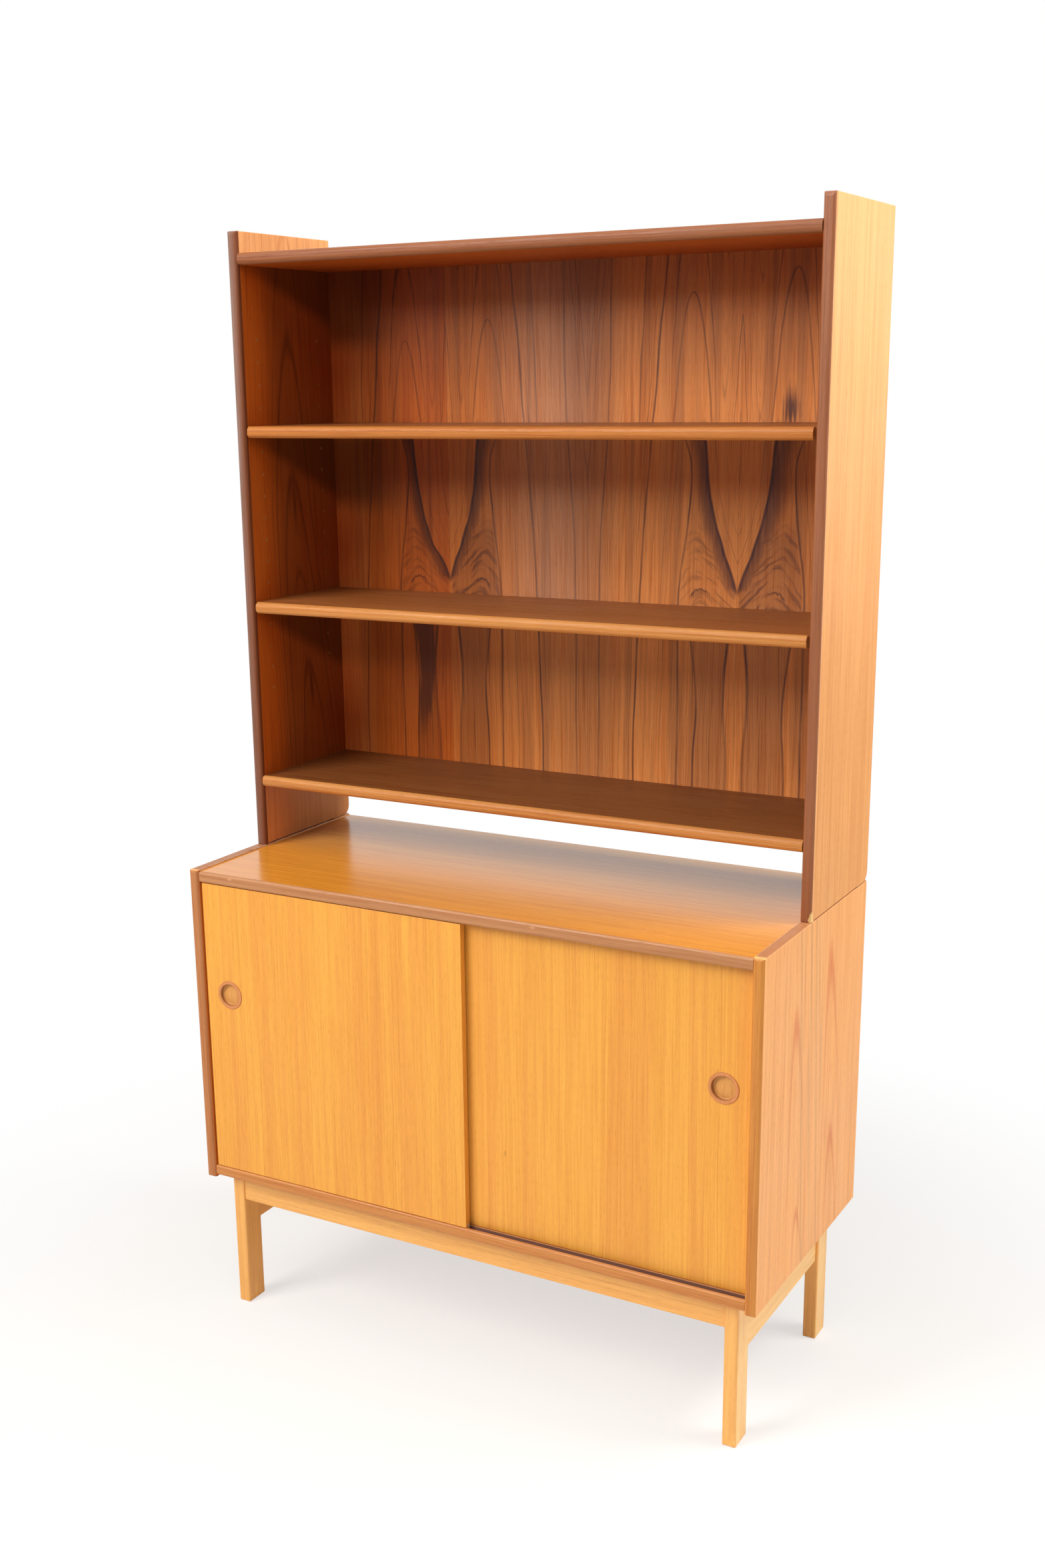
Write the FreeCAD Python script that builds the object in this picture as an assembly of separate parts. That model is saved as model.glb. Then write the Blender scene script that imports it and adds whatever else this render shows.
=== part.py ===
import FreeCAD
import Part
import os
from math import pi, sin, tan

# A teak bookcase: an open hutch stands on a cabinet with two sliding doors, on a blond leg frame.
# Lengths are millimetres. X runs across, Y from front (-) to back (+), and Z up.
# The origin is on the floor, under the centre of the cabinet.

Vector = FreeCAD.Vector
ACROSS = Vector(1, 0, 0)
BACK = Vector(0, 1, 0)
UP = Vector(0, 0, 1)

# Overall sizes
width = 1000.0
cabinet_depth = 437.0
cabinet_height = 544.5
cabinet_floor_z = 241.0
hutch_depth = 253.5
hutch_height = 998.0

# Boards
side_board = 18.0
shelf_board = 18.5
partition_board = 18.0
back_board = 4.0
back_rabbet = 8.0
back_play = 0.4

# Solid teak lippings on the front edges
lipping_depth = 8.0
side_nose = 5.5
shelf_nose = 7.5
rail_setback = 3.5
rail_lipping = 4.5
rail_nose = 4.2
shelf_setback = 0.5

# Cabinet boards
top_drop = 2.5
bottom_lift = 3.0
cabinet_edge_round = 2.5
lipping_end_round = 5.0

# Hutch boards
hutch_top_drop = 33.0
hutch_edge_round = 1.5
hutch_corner_round = 7.0
lower_shelf_gap = 105.0
front_foot = 10.0
rear_foot = 50.0
foot_relief = 2.0
rear_foot_round = 18.0

# Wire supports: bent steel wires in two columns of holes, hidden in a kerf in each shelf end
wire_diameter = 3.0
wire_hole_play = 0.1
wire_leg = 6.5
wire_hole_depth = 7.3
wire_stand_off = 2.2
wire_bend_share = 1.1
front_hole_inset = 43.5
hole_column_gap = 165.5
hole_pitch = 35.4
hole_rows = 17
top_hole_below_top = 131.4
upper_shelf_row = 4
middle_shelf_row = 12
kerf_below_top = 6.8
kerf_play = 0.2
kerf_depth = 5.2
kerf_lead = 0.6
shelf_end_play = 0.8
shelf_back_play = 1.0
lipping_short = 3.0

# Cabinet inside
partition_front = 40.0
inner_shelf_front = 60.0
inner_hole_rows = 9
inner_shelf_row = 4
inner_top_hole_below = 110.0

# Doors and their grooves
door_thickness = 12.0
door_width = 492.0
door_face = 5.5
door_track_step = 15.0
door_rebate = 3.0
groove_play = 0.5
groove_bottom_depth = 6.0
groove_top_depth = 9.0
tongue_floor_gap = 1.0
tongue_top_reach = 4.0
door_bottom_gap = 0.6
door_top_gap = 0.8
door_end_gap = 0.3
door_left_ajar = 3.0
door_edge_round = 0.8

# Door glides, let into the bottom corners of each door
glide_length = 22.0
glide_width = 5.0
glide_height = 10.0
glide_floor_gap = 0.3

# Finger pulls
pull_inset = 46.0
pull_z = 577.0
pull_rim_radius = 24.0
pull_cup_radius = 21.0
pull_dish_radius = 18.5
pull_rim_proud = 1.2
pull_rim_round = 1.1
pull_cup_depth = 8.0
pull_dish_depth = 5.5
pull_dish_crown = 1.6
pull_dish_round = 2.5
pull_lip_round = 1.2
pull_play = 0.05

# Leg frame
leg_width = 22.5
leg_depth = 43.2
leg_inset = 35.0
leg_front_setback = 25.0
leg_rear_setback = 19.3
leg_round = 3.0
foot_round = 4.0
side_apron = 13.0
side_apron_height = 99.7
cross_apron = 18.0
cross_apron_height = 48.0
cross_apron_setback = 3.0
apron_round = 1.5
block_run = 42.0
block_height = 30.0

# Joinery and fixings
dowel_diameter = 8.0
dowel_play = 0.05
dowel_end_play = 0.5
dowel_in_side = 12.0
dowel_in_edge = 20.0
dowel_front_inset = 62.0
hutch_dowel_count = 3
cabinet_dowel_count = 4
partition_dowel_count = 2
dowel_rear_inset = 34.0
frame_dowel_diameter = 6.0
frame_dowel_in_leg = 13.0
frame_dowel_in_apron = 18.0
frame_dowel_spread_share = 0.5
screw_diameter = 4.5
screw_head_diameter = 8.5
screw_head_height = 2.6
screw_bite = 12.0
screw_play = 0.1
screw_from_leg = 12.0
screw_from_apron = 7.0
nail_diameter = 1.6
nail_length = 14.0
nail_head_diameter = 3.2
nail_head_height = 0.6
nail_pitch = 150.0
nail_edge_inset = 4.0
nail_play = 0.05
locating_dowel_diameter = 8.0
locating_dowel_reach = 12.0
locating_front_inset = 60.0
locating_rear_inset = 24.5

# One overrun for every cut, the length under which two outline points are the same, and a whole turn
overrun = 2.0
same_point = 0.001
whole_turn = 360

# Places worked out from the sizes above
half_width = width / 2
inner_face = half_width - side_board
front = -cabinet_depth / 2
rear = cabinet_depth / 2
back_face = rear - back_board
cabinet_top_z = cabinet_floor_z + cabinet_height
top_z = cabinet_top_z - top_drop
top_under_z = top_z - shelf_board
bottom_under_z = cabinet_floor_z + bottom_lift
bottom_z = bottom_under_z + shelf_board
rail_front = front + rail_setback
rail_board_front = rail_front + rail_lipping
hutch_front = rear - hutch_depth
hutch_board_front = hutch_front + lipping_depth
hutch_top_z = cabinet_top_z + hutch_height
hutch_panel_z = hutch_top_z - hutch_top_drop
hutch_panel_under_z = hutch_panel_z - shelf_board
lower_shelf_under_z = top_z + lower_shelf_gap
lower_shelf_z = lower_shelf_under_z + shelf_board
shelf_front = hutch_front + shelf_setback
wire_radius = wire_diameter / 2
hole_columns = (hutch_front + front_hole_inset, hutch_front + front_hole_inset + hole_column_gap)
top_hole_z = hutch_panel_z - top_hole_below_top
hole_heights = [top_hole_z - row * hole_pitch for row in range(hole_rows)]
inner_top_hole_z = top_under_z - inner_top_hole_below
inner_hole_heights = [inner_top_hole_z - row * hole_pitch for row in range(inner_hole_rows)]
inner_hole_columns = (front + inner_shelf_front + front_hole_inset, hole_columns[1])
partition_face = partition_board / 2
groove_fronts = [front + door_face + door_rebate - groove_play + track * door_track_step
                 for track in (0, 1)]
tongue_thickness = door_thickness - door_rebate
groove_width = tongue_thickness + 2 * groove_play
leg_outer = half_width - leg_inset
leg_inner = leg_outer - leg_width
front_leg = (front + leg_front_setback, front + leg_front_setback + leg_depth)
rear_leg = (rear - leg_rear_setback - leg_depth, rear - leg_rear_setback)
cross_apron_under_z = bottom_under_z - cross_apron_height
side_apron_under_z = bottom_under_z - side_apron_height


def block(x, y, z):
    """A box between pairs of faces, each pair given as (low, high)."""
    return Part.makeBox(x[1] - x[0], y[1] - y[0], z[1] - z[0], Vector(x[0], y[0], z[0]))


def rod(diameter, start, end):
    """A round bar between the centres of its two ends."""
    along = end - start
    return Part.makeCylinder(diameter / 2, along.Length, start, along)


def rounded_face(corners):
    """A flat face through (point, rounding) corners; a rounding of zero stays sharp."""
    turns = []
    for index, (point, rounding) in enumerate(corners):
        if not rounding:
            turns.append((point, None, point))
            continue
        to_last = (corners[index - 1][0] - point).normalize()
        to_next = (corners[(index + 1) % len(corners)][0] - point).normalize()
        half_turn = to_last.getAngle(to_next) / 2
        reach = rounding / tan(half_turn)
        centre = point + (to_last + to_next).normalize() * (rounding / sin(half_turn))
        middle = centre + (point - centre).normalize() * rounding
        turns.append((point + to_last * reach, middle, point + to_next * reach))
    edges = []
    for index, (start, middle, end) in enumerate(turns):
        if middle:
            edges.append(Part.Arc(start, middle, end).toShape())
        following = turns[(index + 1) % len(turns)][0]
        if end.distanceToPoint(following) > same_point:
            edges.append(Part.LineSegment(end, following).toShape())
    return Part.Face(Part.Wire(edges))


def plan_prism(corners, z):
    """A rounded outline of (x, y, rounding) corners, raised from z[0] to z[1]."""
    face = rounded_face([(Vector(x, y, z[0]), rounding) for x, y, rounding in corners])
    return face.extrude(UP * (z[1] - z[0]))


def side_prism(corners, x):
    """A rounded outline of (y, z, rounding) corners, drawn out from x[0] to x[1]."""
    face = rounded_face([(Vector(x[0], y, z), rounding) for y, z, rounding in corners])
    return face.extrude(ACROSS * (x[1] - x[0]))


def front_prism(corners, y):
    """A rounded outline of (x, z, rounding) corners, drawn back from y[0] to y[1]."""
    face = rounded_face([(Vector(x, y[0], z), rounding) for x, z, rounding in corners])
    return face.extrude(BACK * (y[1] - y[0]))


def group(solids):
    """Separate solids kept in one node."""
    return Part.Compound(list(solids))


def mirrored(shape):
    """The same piece on the other side of the middle plane."""
    return shape.mirror(Vector(0, 0, 0), ACROSS)


def both_sides(solids):
    """Solids on the right, with their mirror images on the left."""
    solids = list(solids)
    return solids + [mirrored(solid) for solid in solids]


def cut_all(solid, tools):
    """A solid with a list of tools cut out of it."""
    tools = list(tools)
    return solid.cut(tools).Solids[0] if tools else solid


def shelf_lipping(x, y, z, nose):
    """A solid front edge for a horizontal board: rounded above and below at the front."""
    corners = [(y[0], z[0], nose), (y[1], z[0], 0), (y[1], z[1], 0), (y[0], z[1], nose)]
    return side_prism(corners, x)


def upright_lipping(x, y, z, nose, edge_round, end_round):
    """A solid front edge for an upright board, with its front corners and ends eased."""
    plan = plan_prism([(x[0], y[0], nose), (x[1], y[0], nose), (x[1], y[1], 0), (x[0], y[1], 0)], z)
    elevation = front_prism([(x[0], z[0], 0), (x[1], z[0], 0),
                             (x[1], z[1], edge_round), (x[0], z[1], edge_round)], y)
    profile = side_prism([(y[0], z[0], edge_round), (y[1], z[0], 0),
                          (y[1], z[1], 0), (y[0], z[1], end_round)], x)
    return plan.common(elevation).common(profile).Solids[0]


def dowel_centres(y, count):
    """Places of a row of dowels along the depth of a board."""
    first = y[0] + dowel_front_inset
    last = y[1] - dowel_rear_inset
    return [first + (last - first) * index / (count - 1) for index in range(count)]


def end_dowels(y, z_middle, count):
    """Dowels that join the right end of a board to the right side, and their holes."""
    dowels = []
    holes = []
    for centre in dowel_centres(y, count):
        ends = (inner_face - dowel_in_edge, inner_face + dowel_in_side)
        dowels.append(rod(dowel_diameter, Vector(ends[0], centre, z_middle),
                          Vector(ends[1], centre, z_middle)))
        holes.append(rod(dowel_diameter + 2 * dowel_play,
                         Vector(ends[0] - dowel_end_play, centre, z_middle),
                         Vector(ends[1] + dowel_end_play, centre, z_middle)))
    return dowels, holes


def wire_holes(face, outward, columns, heights):
    """Blind holes for wire supports, drilled outward into an upright from its face."""
    diameter = wire_diameter + 2 * wire_hole_play
    start = face - outward * overrun
    end = face + outward * wire_hole_depth
    return [rod(diameter, Vector(start, y, z), Vector(end, y, z)) for y in columns for z in heights]


def wire_support(face, outward, columns, z):
    """One bent wire: its two legs sit in the holes and its run carries the shelf."""
    bend = wire_diameter * wire_bend_share
    run_x = face - outward * wire_stand_off
    leg_end = face + outward * wire_leg
    leg_start = run_x + outward * bend
    ease = bend * (1 - sin(pi / 4))
    first, last = columns
    points = [Vector(leg_end, first, z), Vector(leg_start, first, z),
              Vector(run_x + outward * ease, first + ease, z), Vector(run_x, first + bend, z),
              Vector(run_x, last - bend, z), Vector(run_x + outward * ease, last - ease, z),
              Vector(leg_start, last, z), Vector(leg_end, last, z)]
    path = Part.Wire([Part.LineSegment(points[0], points[1]).toShape(),
                      Part.Arc(points[1], points[2], points[3]).toShape(),
                      Part.LineSegment(points[3], points[4]).toShape(),
                      Part.Arc(points[4], points[5], points[6]).toShape(),
                      Part.LineSegment(points[6], points[7]).toShape()])
    section = Part.Wire([Part.makeCircle(wire_radius, points[0], ACROSS)])
    return path.makePipeShell([section], True, False)


def adjustable_shelf(x, y_front, columns, wire_z):
    """A shelf board, kerfed at both ends for its wires, and its lipping."""
    z = (wire_z + kerf_below_top - shelf_board, wire_z + kerf_below_top)
    x = (x[0] + shelf_end_play, x[1] - shelf_end_play)
    y_board = (y_front + lipping_depth, back_face - shelf_back_play)
    board = block(x, y_board, z)
    kerf_z = (wire_z - wire_radius - kerf_play, wire_z + wire_radius + kerf_play)
    kerf_y = (columns[0] - wire_radius - kerf_lead, y_board[1] + overrun)
    kerfs = [block((x[0] - overrun, x[0] + kerf_depth), kerf_y, kerf_z),
             block((x[1] - kerf_depth, x[1] + overrun), kerf_y, kerf_z)]
    lipping = shelf_lipping((x[0] + lipping_short, x[1] - lipping_short), (y_front, y_board[0]), z,
                            shelf_nose)
    return cut_all(board, kerfs), lipping


def wire_pair(x, columns, z):
    """The two wires of one shelf, in the uprights on its left and right."""
    return group([wire_support(x[0], -1, columns, z), wire_support(x[1], 1, columns, z)])


def nail_line(start, end):
    """Places of the nails along one edge, evenly spaced from end to end."""
    length = (end - start).Length
    gaps = max(1, round(length / nail_pitch))
    return [start + (end - start) * (index / gaps) for index in range(gaps + 1)]


def headed_pin(diameter, head_diameter, head_height, tip, head_face, play):
    """A straight fixing from its tip to the face of its flat head, grown by a play all round."""
    into = (tip - head_face).normalize()
    head_end = head_face + into * (head_height + play)
    shank = rod(diameter + 2 * play, head_end, tip + into * play)
    head = rod(head_diameter + 2 * play, head_face, head_end)
    return shank.fuse(head).removeSplitter().Solids[0]


def nail(place, play):
    """A small nail driven forward from the back, with its head flush in the panel."""
    return headed_pin(nail_diameter, nail_head_diameter, nail_head_height,
                      place - BACK * nail_length, place, play)


def nail_places(half_span, low, high):
    """Nails along the four edges of a back panel, on its rear face."""
    lower = [Vector(-half_span, rear, low), Vector(half_span, rear, low)]
    upper = [Vector(-half_span, rear, high), Vector(half_span, rear, high)]
    rows = nail_line(lower[0], lower[1]) + nail_line(upper[0], upper[1])
    columns = []
    for index in (0, 1):
        columns += nail_line(lower[index], upper[index])[1:-1]
    return rows + columns


def tongue_grooves(x, z):
    """The two grooves that the doors run in, between z[0] and z[1]."""
    return [block((x[0] - overrun, x[1] + overrun), (y, y + groove_width), z) for y in groove_fronts]


def hutch_side():
    """The right hutch side: board and lipping, before holes are drilled."""
    x = (inner_face, half_width)
    floor = cabinet_top_z
    relief = floor + foot_relief
    board = side_prism([(hutch_board_front, floor, 0), (hutch_front + front_foot, floor, 0),
                        (hutch_front + front_foot, relief, 0), (rear - rear_foot, relief, 0),
                        (rear - rear_foot, floor, 0), (rear, floor, rear_foot_round),
                        (rear, hutch_top_z, 0), (hutch_board_front, hutch_top_z, 0)], x)
    eased = front_prism([(x[0], floor, 0), (x[1], floor, 0), (x[1], hutch_top_z, hutch_edge_round),
                         (x[0], hutch_top_z, hutch_edge_round)], (hutch_board_front, rear))
    rabbet = block((inner_face - overrun, inner_face + back_rabbet), (back_face, rear + overrun),
                   (lower_shelf_under_z - back_play, hutch_panel_z + back_play))
    lipping = upright_lipping(x, (hutch_front, hutch_board_front), (floor, hutch_top_z), side_nose,
                              hutch_edge_round, hutch_corner_round)
    return board.common(eased).cut(rabbet).Solids[0], lipping


def cabinet_side():
    """The right cabinet side: board and lipping, before holes are drilled."""
    x = (inner_face, half_width)
    z = (cabinet_floor_z, cabinet_top_z)
    board_front = front + lipping_depth
    board = front_prism([(x[0], z[0], 0), (x[1], z[0], 0), (x[1], z[1], cabinet_edge_round),
                         (x[0], z[1], cabinet_edge_round)], (board_front, rear))
    rabbet = block((inner_face - overrun, inner_face + back_rabbet), (back_face, rear + overrun),
                   (bottom_under_z - back_play, top_under_z + back_rabbet + back_play))
    lipping = upright_lipping(x, (front, board_front), z, side_nose, cabinet_edge_round,
                              lipping_end_round)
    return board.cut(rabbet).Solids[0], lipping


def make_hutch():
    """Everything of the open hutch, as node names and shapes."""
    across = (-inner_face, inner_face)
    side, side_lipping = hutch_side()
    panel_z = (hutch_panel_under_z, hutch_panel_z)
    lower_z = (lower_shelf_under_z, lower_shelf_z)
    dowels = []
    side_holes = wire_holes(inner_face, 1, hole_columns, hole_heights)
    board_holes = {}
    for name, z, y in (("top", panel_z, (hutch_board_front, rear)),
                       ("lower", lower_z, (hutch_board_front, back_face))):
        pegs, holes = end_dowels(y, (z[0] + z[1]) / 2, hutch_dowel_count)
        dowels += pegs
        side_holes += holes
        board_holes[name] = both_sides(holes)
    locating, locating_holes = locating_dowels()
    side = cut_all(side, side_holes + locating_holes)

    top = block(across, (hutch_board_front, rear), panel_z)
    top_rabbet = block((across[0] - overrun, across[1] + overrun), (back_face, rear + overrun),
                       (panel_z[0] - overrun, panel_z[0] + back_rabbet + back_play))
    lower = block(across, (hutch_board_front, back_face), lower_z)
    back_reach = inner_face + back_rabbet - back_play
    back_z = (lower_shelf_under_z, hutch_panel_under_z + back_rabbet)
    back = block((-back_reach, back_reach), (back_face, rear), back_z)
    nails = nail_places(inner_face + nail_edge_inset, back_z[0] + nail_edge_inset,
                        back_z[1] - nail_edge_inset)
    nail_holes = [nail(place, nail_play) for place in nails]
    side = cut_all(side, nail_holes)
    nodes = {
        "hutch_side_right": side,
        "hutch_side_left": mirrored(side),
        "hutch_side_lipping_right": side_lipping,
        "hutch_side_lipping_left": mirrored(side_lipping),
        "hutch_top": cut_all(top, board_holes["top"] + [top_rabbet] + nail_holes),
        "hutch_top_lipping": shelf_lipping(across, (shelf_front, hutch_board_front), panel_z, shelf_nose),
        "lower_shelf": cut_all(lower, board_holes["lower"] + nail_holes),
        "lower_shelf_lipping": shelf_lipping(across, (shelf_front, hutch_board_front), lower_z,
                                             shelf_nose),
        "hutch_back": cut_all(back, nail_holes),
        "hutch_back_nails": group(nail(place, 0) for place in nails),
        "hutch_dowels": group(both_sides(dowels)),
        "locating_dowels": group(both_sides(locating)),
    }
    for name, row in (("upper", upper_shelf_row), ("middle", middle_shelf_row)):
        wire_z = hole_heights[row]
        board, lipping = adjustable_shelf(across, shelf_front, hole_columns, wire_z)
        nodes[name + "_shelf"] = board
        nodes[name + "_shelf_lipping"] = lipping
        nodes[name + "_shelf_wires"] = wire_pair(across, hole_columns, wire_z)
    return nodes


def locating_dowels():
    """Loose dowels that keep the right hutch side in place on the cabinet, and their holes."""
    x = inner_face + side_board / 2
    dowels = []
    holes = []
    for y in (hutch_front + locating_front_inset, rear - locating_rear_inset):
        low = Vector(x, y, cabinet_top_z - locating_dowel_reach)
        high = Vector(x, y, cabinet_top_z + locating_dowel_reach)
        dowels.append(rod(locating_dowel_diameter, low, high))
        holes.append(rod(locating_dowel_diameter + 2 * dowel_play, low - UP * dowel_end_play,
                         high + UP * dowel_end_play))
    return dowels, holes


def make_cabinet():
    """The cabinet's boards, back, partition and inner shelves, as node names and shapes."""
    across = (-inner_face, inner_face)
    side, side_lipping = cabinet_side()
    top_range = (top_under_z, top_z)
    bottom_range = (bottom_under_z, bottom_z)
    dowels = []
    side_holes = wire_holes(inner_face, 1, inner_hole_columns, inner_hole_heights)
    board_holes = {}
    for name, z, y in (("top", top_range, (rail_board_front, rear)),
                       ("bottom", bottom_range, (rail_board_front, back_face))):
        pegs, holes = end_dowels(y, (z[0] + z[1]) / 2, cabinet_dowel_count)
        dowels += pegs
        side_holes += holes
        board_holes[name] = both_sides(holes)
    locating, locating_holes = locating_dowels()
    side = cut_all(side, side_holes + locating_holes)

    partition_y = (front + partition_front, back_face)
    post_dowels, post_holes = partition_dowels(partition_y)
    top = block(across, (rail_board_front, rear), top_range)
    top_rabbet = block((across[0] - overrun, across[1] + overrun), (back_face, rear + overrun),
                       (top_under_z - overrun, top_under_z + back_rabbet + back_play))
    bottom = block(across, (rail_board_front, back_face), bottom_range)
    top_grooves = tongue_grooves(across, (top_under_z - overrun, top_under_z + groove_top_depth))
    bottom_grooves = tongue_grooves(across, (bottom_z - groove_bottom_depth, bottom_z + overrun))
    back_reach = inner_face + back_rabbet - back_play
    back_z = (bottom_under_z, top_under_z + back_rabbet)
    back = block((-back_reach, back_reach), (back_face, rear), back_z)
    nails = nail_places(inner_face + nail_edge_inset, back_z[0] + nail_edge_inset,
                        back_z[1] - nail_edge_inset)
    nail_holes = [nail(place, nail_play) for place in nails]
    side = cut_all(side, nail_holes)
    screw_holes = both_sides(frame_screws(screw_play))
    partition = block((-partition_face, partition_face), (partition_y[0] + lipping_depth, partition_y[1]),
                      (bottom_z, top_under_z))
    partition_holes = both_sides(wire_holes(partition_face, -1, inner_hole_columns, inner_hole_heights))
    partition_lipping = plan_prism(
        [(-partition_face, partition_y[0], rail_nose), (partition_face, partition_y[0], rail_nose),
         (partition_face, partition_y[0] + lipping_depth, 0),
         (-partition_face, partition_y[0] + lipping_depth, 0)], (bottom_z, top_under_z))
    nodes = {
        "cabinet_side_right": side,
        "cabinet_side_left": mirrored(side),
        "cabinet_side_lipping_right": side_lipping,
        "cabinet_side_lipping_left": mirrored(side_lipping),
        "cabinet_top": cut_all(top, board_holes["top"] + [top_rabbet] + top_grooves + post_holes
                               + nail_holes),
        "cabinet_top_lipping": shelf_lipping(across, (rail_front, rail_board_front), top_range, rail_nose),
        "cabinet_bottom": cut_all(bottom, board_holes["bottom"] + bottom_grooves + post_holes
                                  + nail_holes + screw_holes),
        "cabinet_bottom_lipping": shelf_lipping(across, (rail_front, rail_board_front), bottom_range,
                                                rail_nose),
        "cabinet_back": cut_all(back, nail_holes),
        "cabinet_back_nails": group(nail(place, 0) for place in nails),
        "cabinet_dowels": group(both_sides(dowels) + post_dowels),
        "partition": cut_all(partition, partition_holes + post_holes),
        "partition_lipping": partition_lipping,
    }
    bay = (partition_face, inner_face)
    wire_z = inner_hole_heights[inner_shelf_row]
    board, lipping = adjustable_shelf(bay, front + inner_shelf_front, inner_hole_columns, wire_z)
    wires = wire_pair(bay, inner_hole_columns, wire_z)
    for name, shape in (("", board), ("lipping_", lipping), ("wires_", wires)):
        nodes["inner_shelf_" + name + "right"] = shape
        nodes["inner_shelf_" + name + "left"] = mirrored(shape)
    return nodes


def partition_dowels(y):
    """Dowels above and below the partition, and their holes."""
    dowels = []
    holes = []
    for centre in dowel_centres(y, partition_dowel_count):
        for face, inward in ((bottom_z, 1), (top_under_z, -1)):
            start = Vector(0, centre, face - inward * dowel_in_side)
            end = Vector(0, centre, face + inward * dowel_in_edge)
            along = UP * inward
            dowels.append(rod(dowel_diameter, start, end))
            holes.append(rod(dowel_diameter + 2 * dowel_play, start - along * dowel_end_play,
                             end + along * dowel_end_play))
    return dowels, holes


def door(x, track, pull_x):
    """A sliding door with a tongue above and below, recessed for its pull and glides."""
    face = front + door_face + track * door_track_step
    tongue = face + door_rebate
    back = face + door_thickness
    low = bottom_z + door_bottom_gap
    high = top_under_z - door_top_gap
    foot = bottom_z - groove_bottom_depth + tongue_floor_gap
    head = top_under_z + tongue_top_reach
    board = side_prism([(face, low, door_edge_round), (tongue, low, 0), (tongue, foot, 0),
                        (back, foot, 0), (back, head, 0), (tongue, head, 0), (tongue, high, 0),
                        (face, high, door_edge_round)], x)
    recess = rod(2 * (pull_cup_radius + pull_play), Vector(pull_x, face - overrun, pull_z),
                 Vector(pull_x, face + pull_cup_depth + pull_play, pull_z))
    glides = door_glides(x, tongue)
    return cut_all(board, [recess] + glides), finger_pull(pull_x, face), group(glides)


def door_glides(x, tongue):
    """The two plastic glides at the bottom corners of a door."""
    floor = bottom_z - groove_bottom_depth
    z = (floor + glide_floor_gap, floor + tongue_floor_gap + glide_height)
    y_low = tongue + (tongue_thickness - glide_width) / 2
    y = (y_low, y_low + glide_width)
    return [block((x[0], x[0] + glide_length), y, z), block((x[1] - glide_length, x[1]), y, z)]


def finger_pull(x, face):
    """A turned cup with a proud rim round a shallow crowned dish, let into a door face."""
    rim = face - pull_rim_proud
    dish = face + pull_dish_depth
    cup = face + pull_cup_depth
    corners = [(0, cup, 0), (pull_cup_radius, cup, 0), (pull_cup_radius, face, 0),
               (pull_rim_radius, face, 0), (pull_rim_radius, rim, pull_rim_round),
               (pull_dish_radius, rim, pull_lip_round), (pull_dish_radius, dish, pull_dish_round),
               (0, dish - pull_dish_crown, 0)]
    profile = rounded_face([(Vector(x + radius, y, pull_z), rounding)
                            for radius, y, rounding in corners])
    return profile.revolve(Vector(x, face, pull_z), BACK, whole_turn).Solids[0]


def make_doors():
    """Both doors with their pulls and glides: the left one runs in the front grooves."""
    left_edge = -inner_face + door_end_gap + door_left_ajar
    right_edge = inner_face - door_end_gap
    nodes = {}
    for name, x, track, pull_x in (
            ("left", (left_edge, left_edge + door_width), 0, left_edge + pull_inset),
            ("right", (right_edge - door_width, right_edge), 1, right_edge - pull_inset)):
        board, pull, glides = door(x, track, pull_x)
        nodes["door_" + name] = board
        nodes["finger_pull_" + name] = pull
        nodes["door_glides_" + name] = glides
    return nodes


def leg(y):
    """A straight flat leg on the right, eased along its edges and round its foot."""
    z = (0, bottom_under_z)
    plan = plan_prism([(leg_inner, y[0], leg_round), (leg_outer, y[0], leg_round),
                       (leg_outer, y[1], leg_round), (leg_inner, y[1], leg_round)], z)
    elevation = front_prism([(leg_inner, z[0], foot_round), (leg_outer, z[0], foot_round),
                             (leg_outer, z[1], 0), (leg_inner, z[1], 0)], y)
    profile = side_prism([(y[0], z[0], foot_round), (y[1], z[0], foot_round),
                          (y[1], z[1], 0), (y[0], z[1], 0)], (leg_inner, leg_outer))
    return plan.common(elevation).common(profile).Solids[0]


def spread(low, high):
    """Heights of the two dowels in an apron end."""
    middle = (low + high) / 2
    offset = (high - low) * frame_dowel_spread_share / 2
    return middle - offset, middle + offset


def frame_dowels(play):
    """Dowels between the right legs and the aprons, grown by a play all round."""
    diameter = frame_dowel_diameter + 2 * play
    extra = dowel_end_play if play else 0
    dowels = []
    for y in cross_apron_middles():
        for z in spread(cross_apron_under_z, bottom_under_z):
            dowels.append(rod(diameter, Vector(leg_inner - frame_dowel_in_apron - extra, y, z),
                              Vector(leg_inner + frame_dowel_in_leg + extra, y, z)))
    x = (leg_inner + leg_outer) / 2
    for y, inward in ((front_leg[1], 1), (rear_leg[0], -1)):
        for z in spread(side_apron_under_z, bottom_under_z):
            dowels.append(rod(diameter, Vector(x, y - inward * (frame_dowel_in_leg + extra), z),
                              Vector(x, y + inward * (frame_dowel_in_apron + extra), z)))
    return dowels


def cross_apron_middles():
    """The middle planes of the front and rear aprons."""
    inset = cross_apron_setback + cross_apron / 2
    return front_leg[0] + inset, rear_leg[1] - inset


def frame_blocks():
    """Corner blocks on the right, glued behind the cross aprons and against the legs."""
    z = (bottom_under_z - block_height, bottom_under_z)
    blocks = []
    for apron_face, leg_face in ((cross_apron_middles()[0] + cross_apron / 2, front_leg[1]),
                                 (cross_apron_middles()[1] - cross_apron / 2, rear_leg[0])):
        blocks.append(plan_prism([(leg_inner, apron_face, 0), (leg_inner - block_run, apron_face, 0),
                                  (leg_inner, leg_face, 0)], z))
    return blocks


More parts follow.
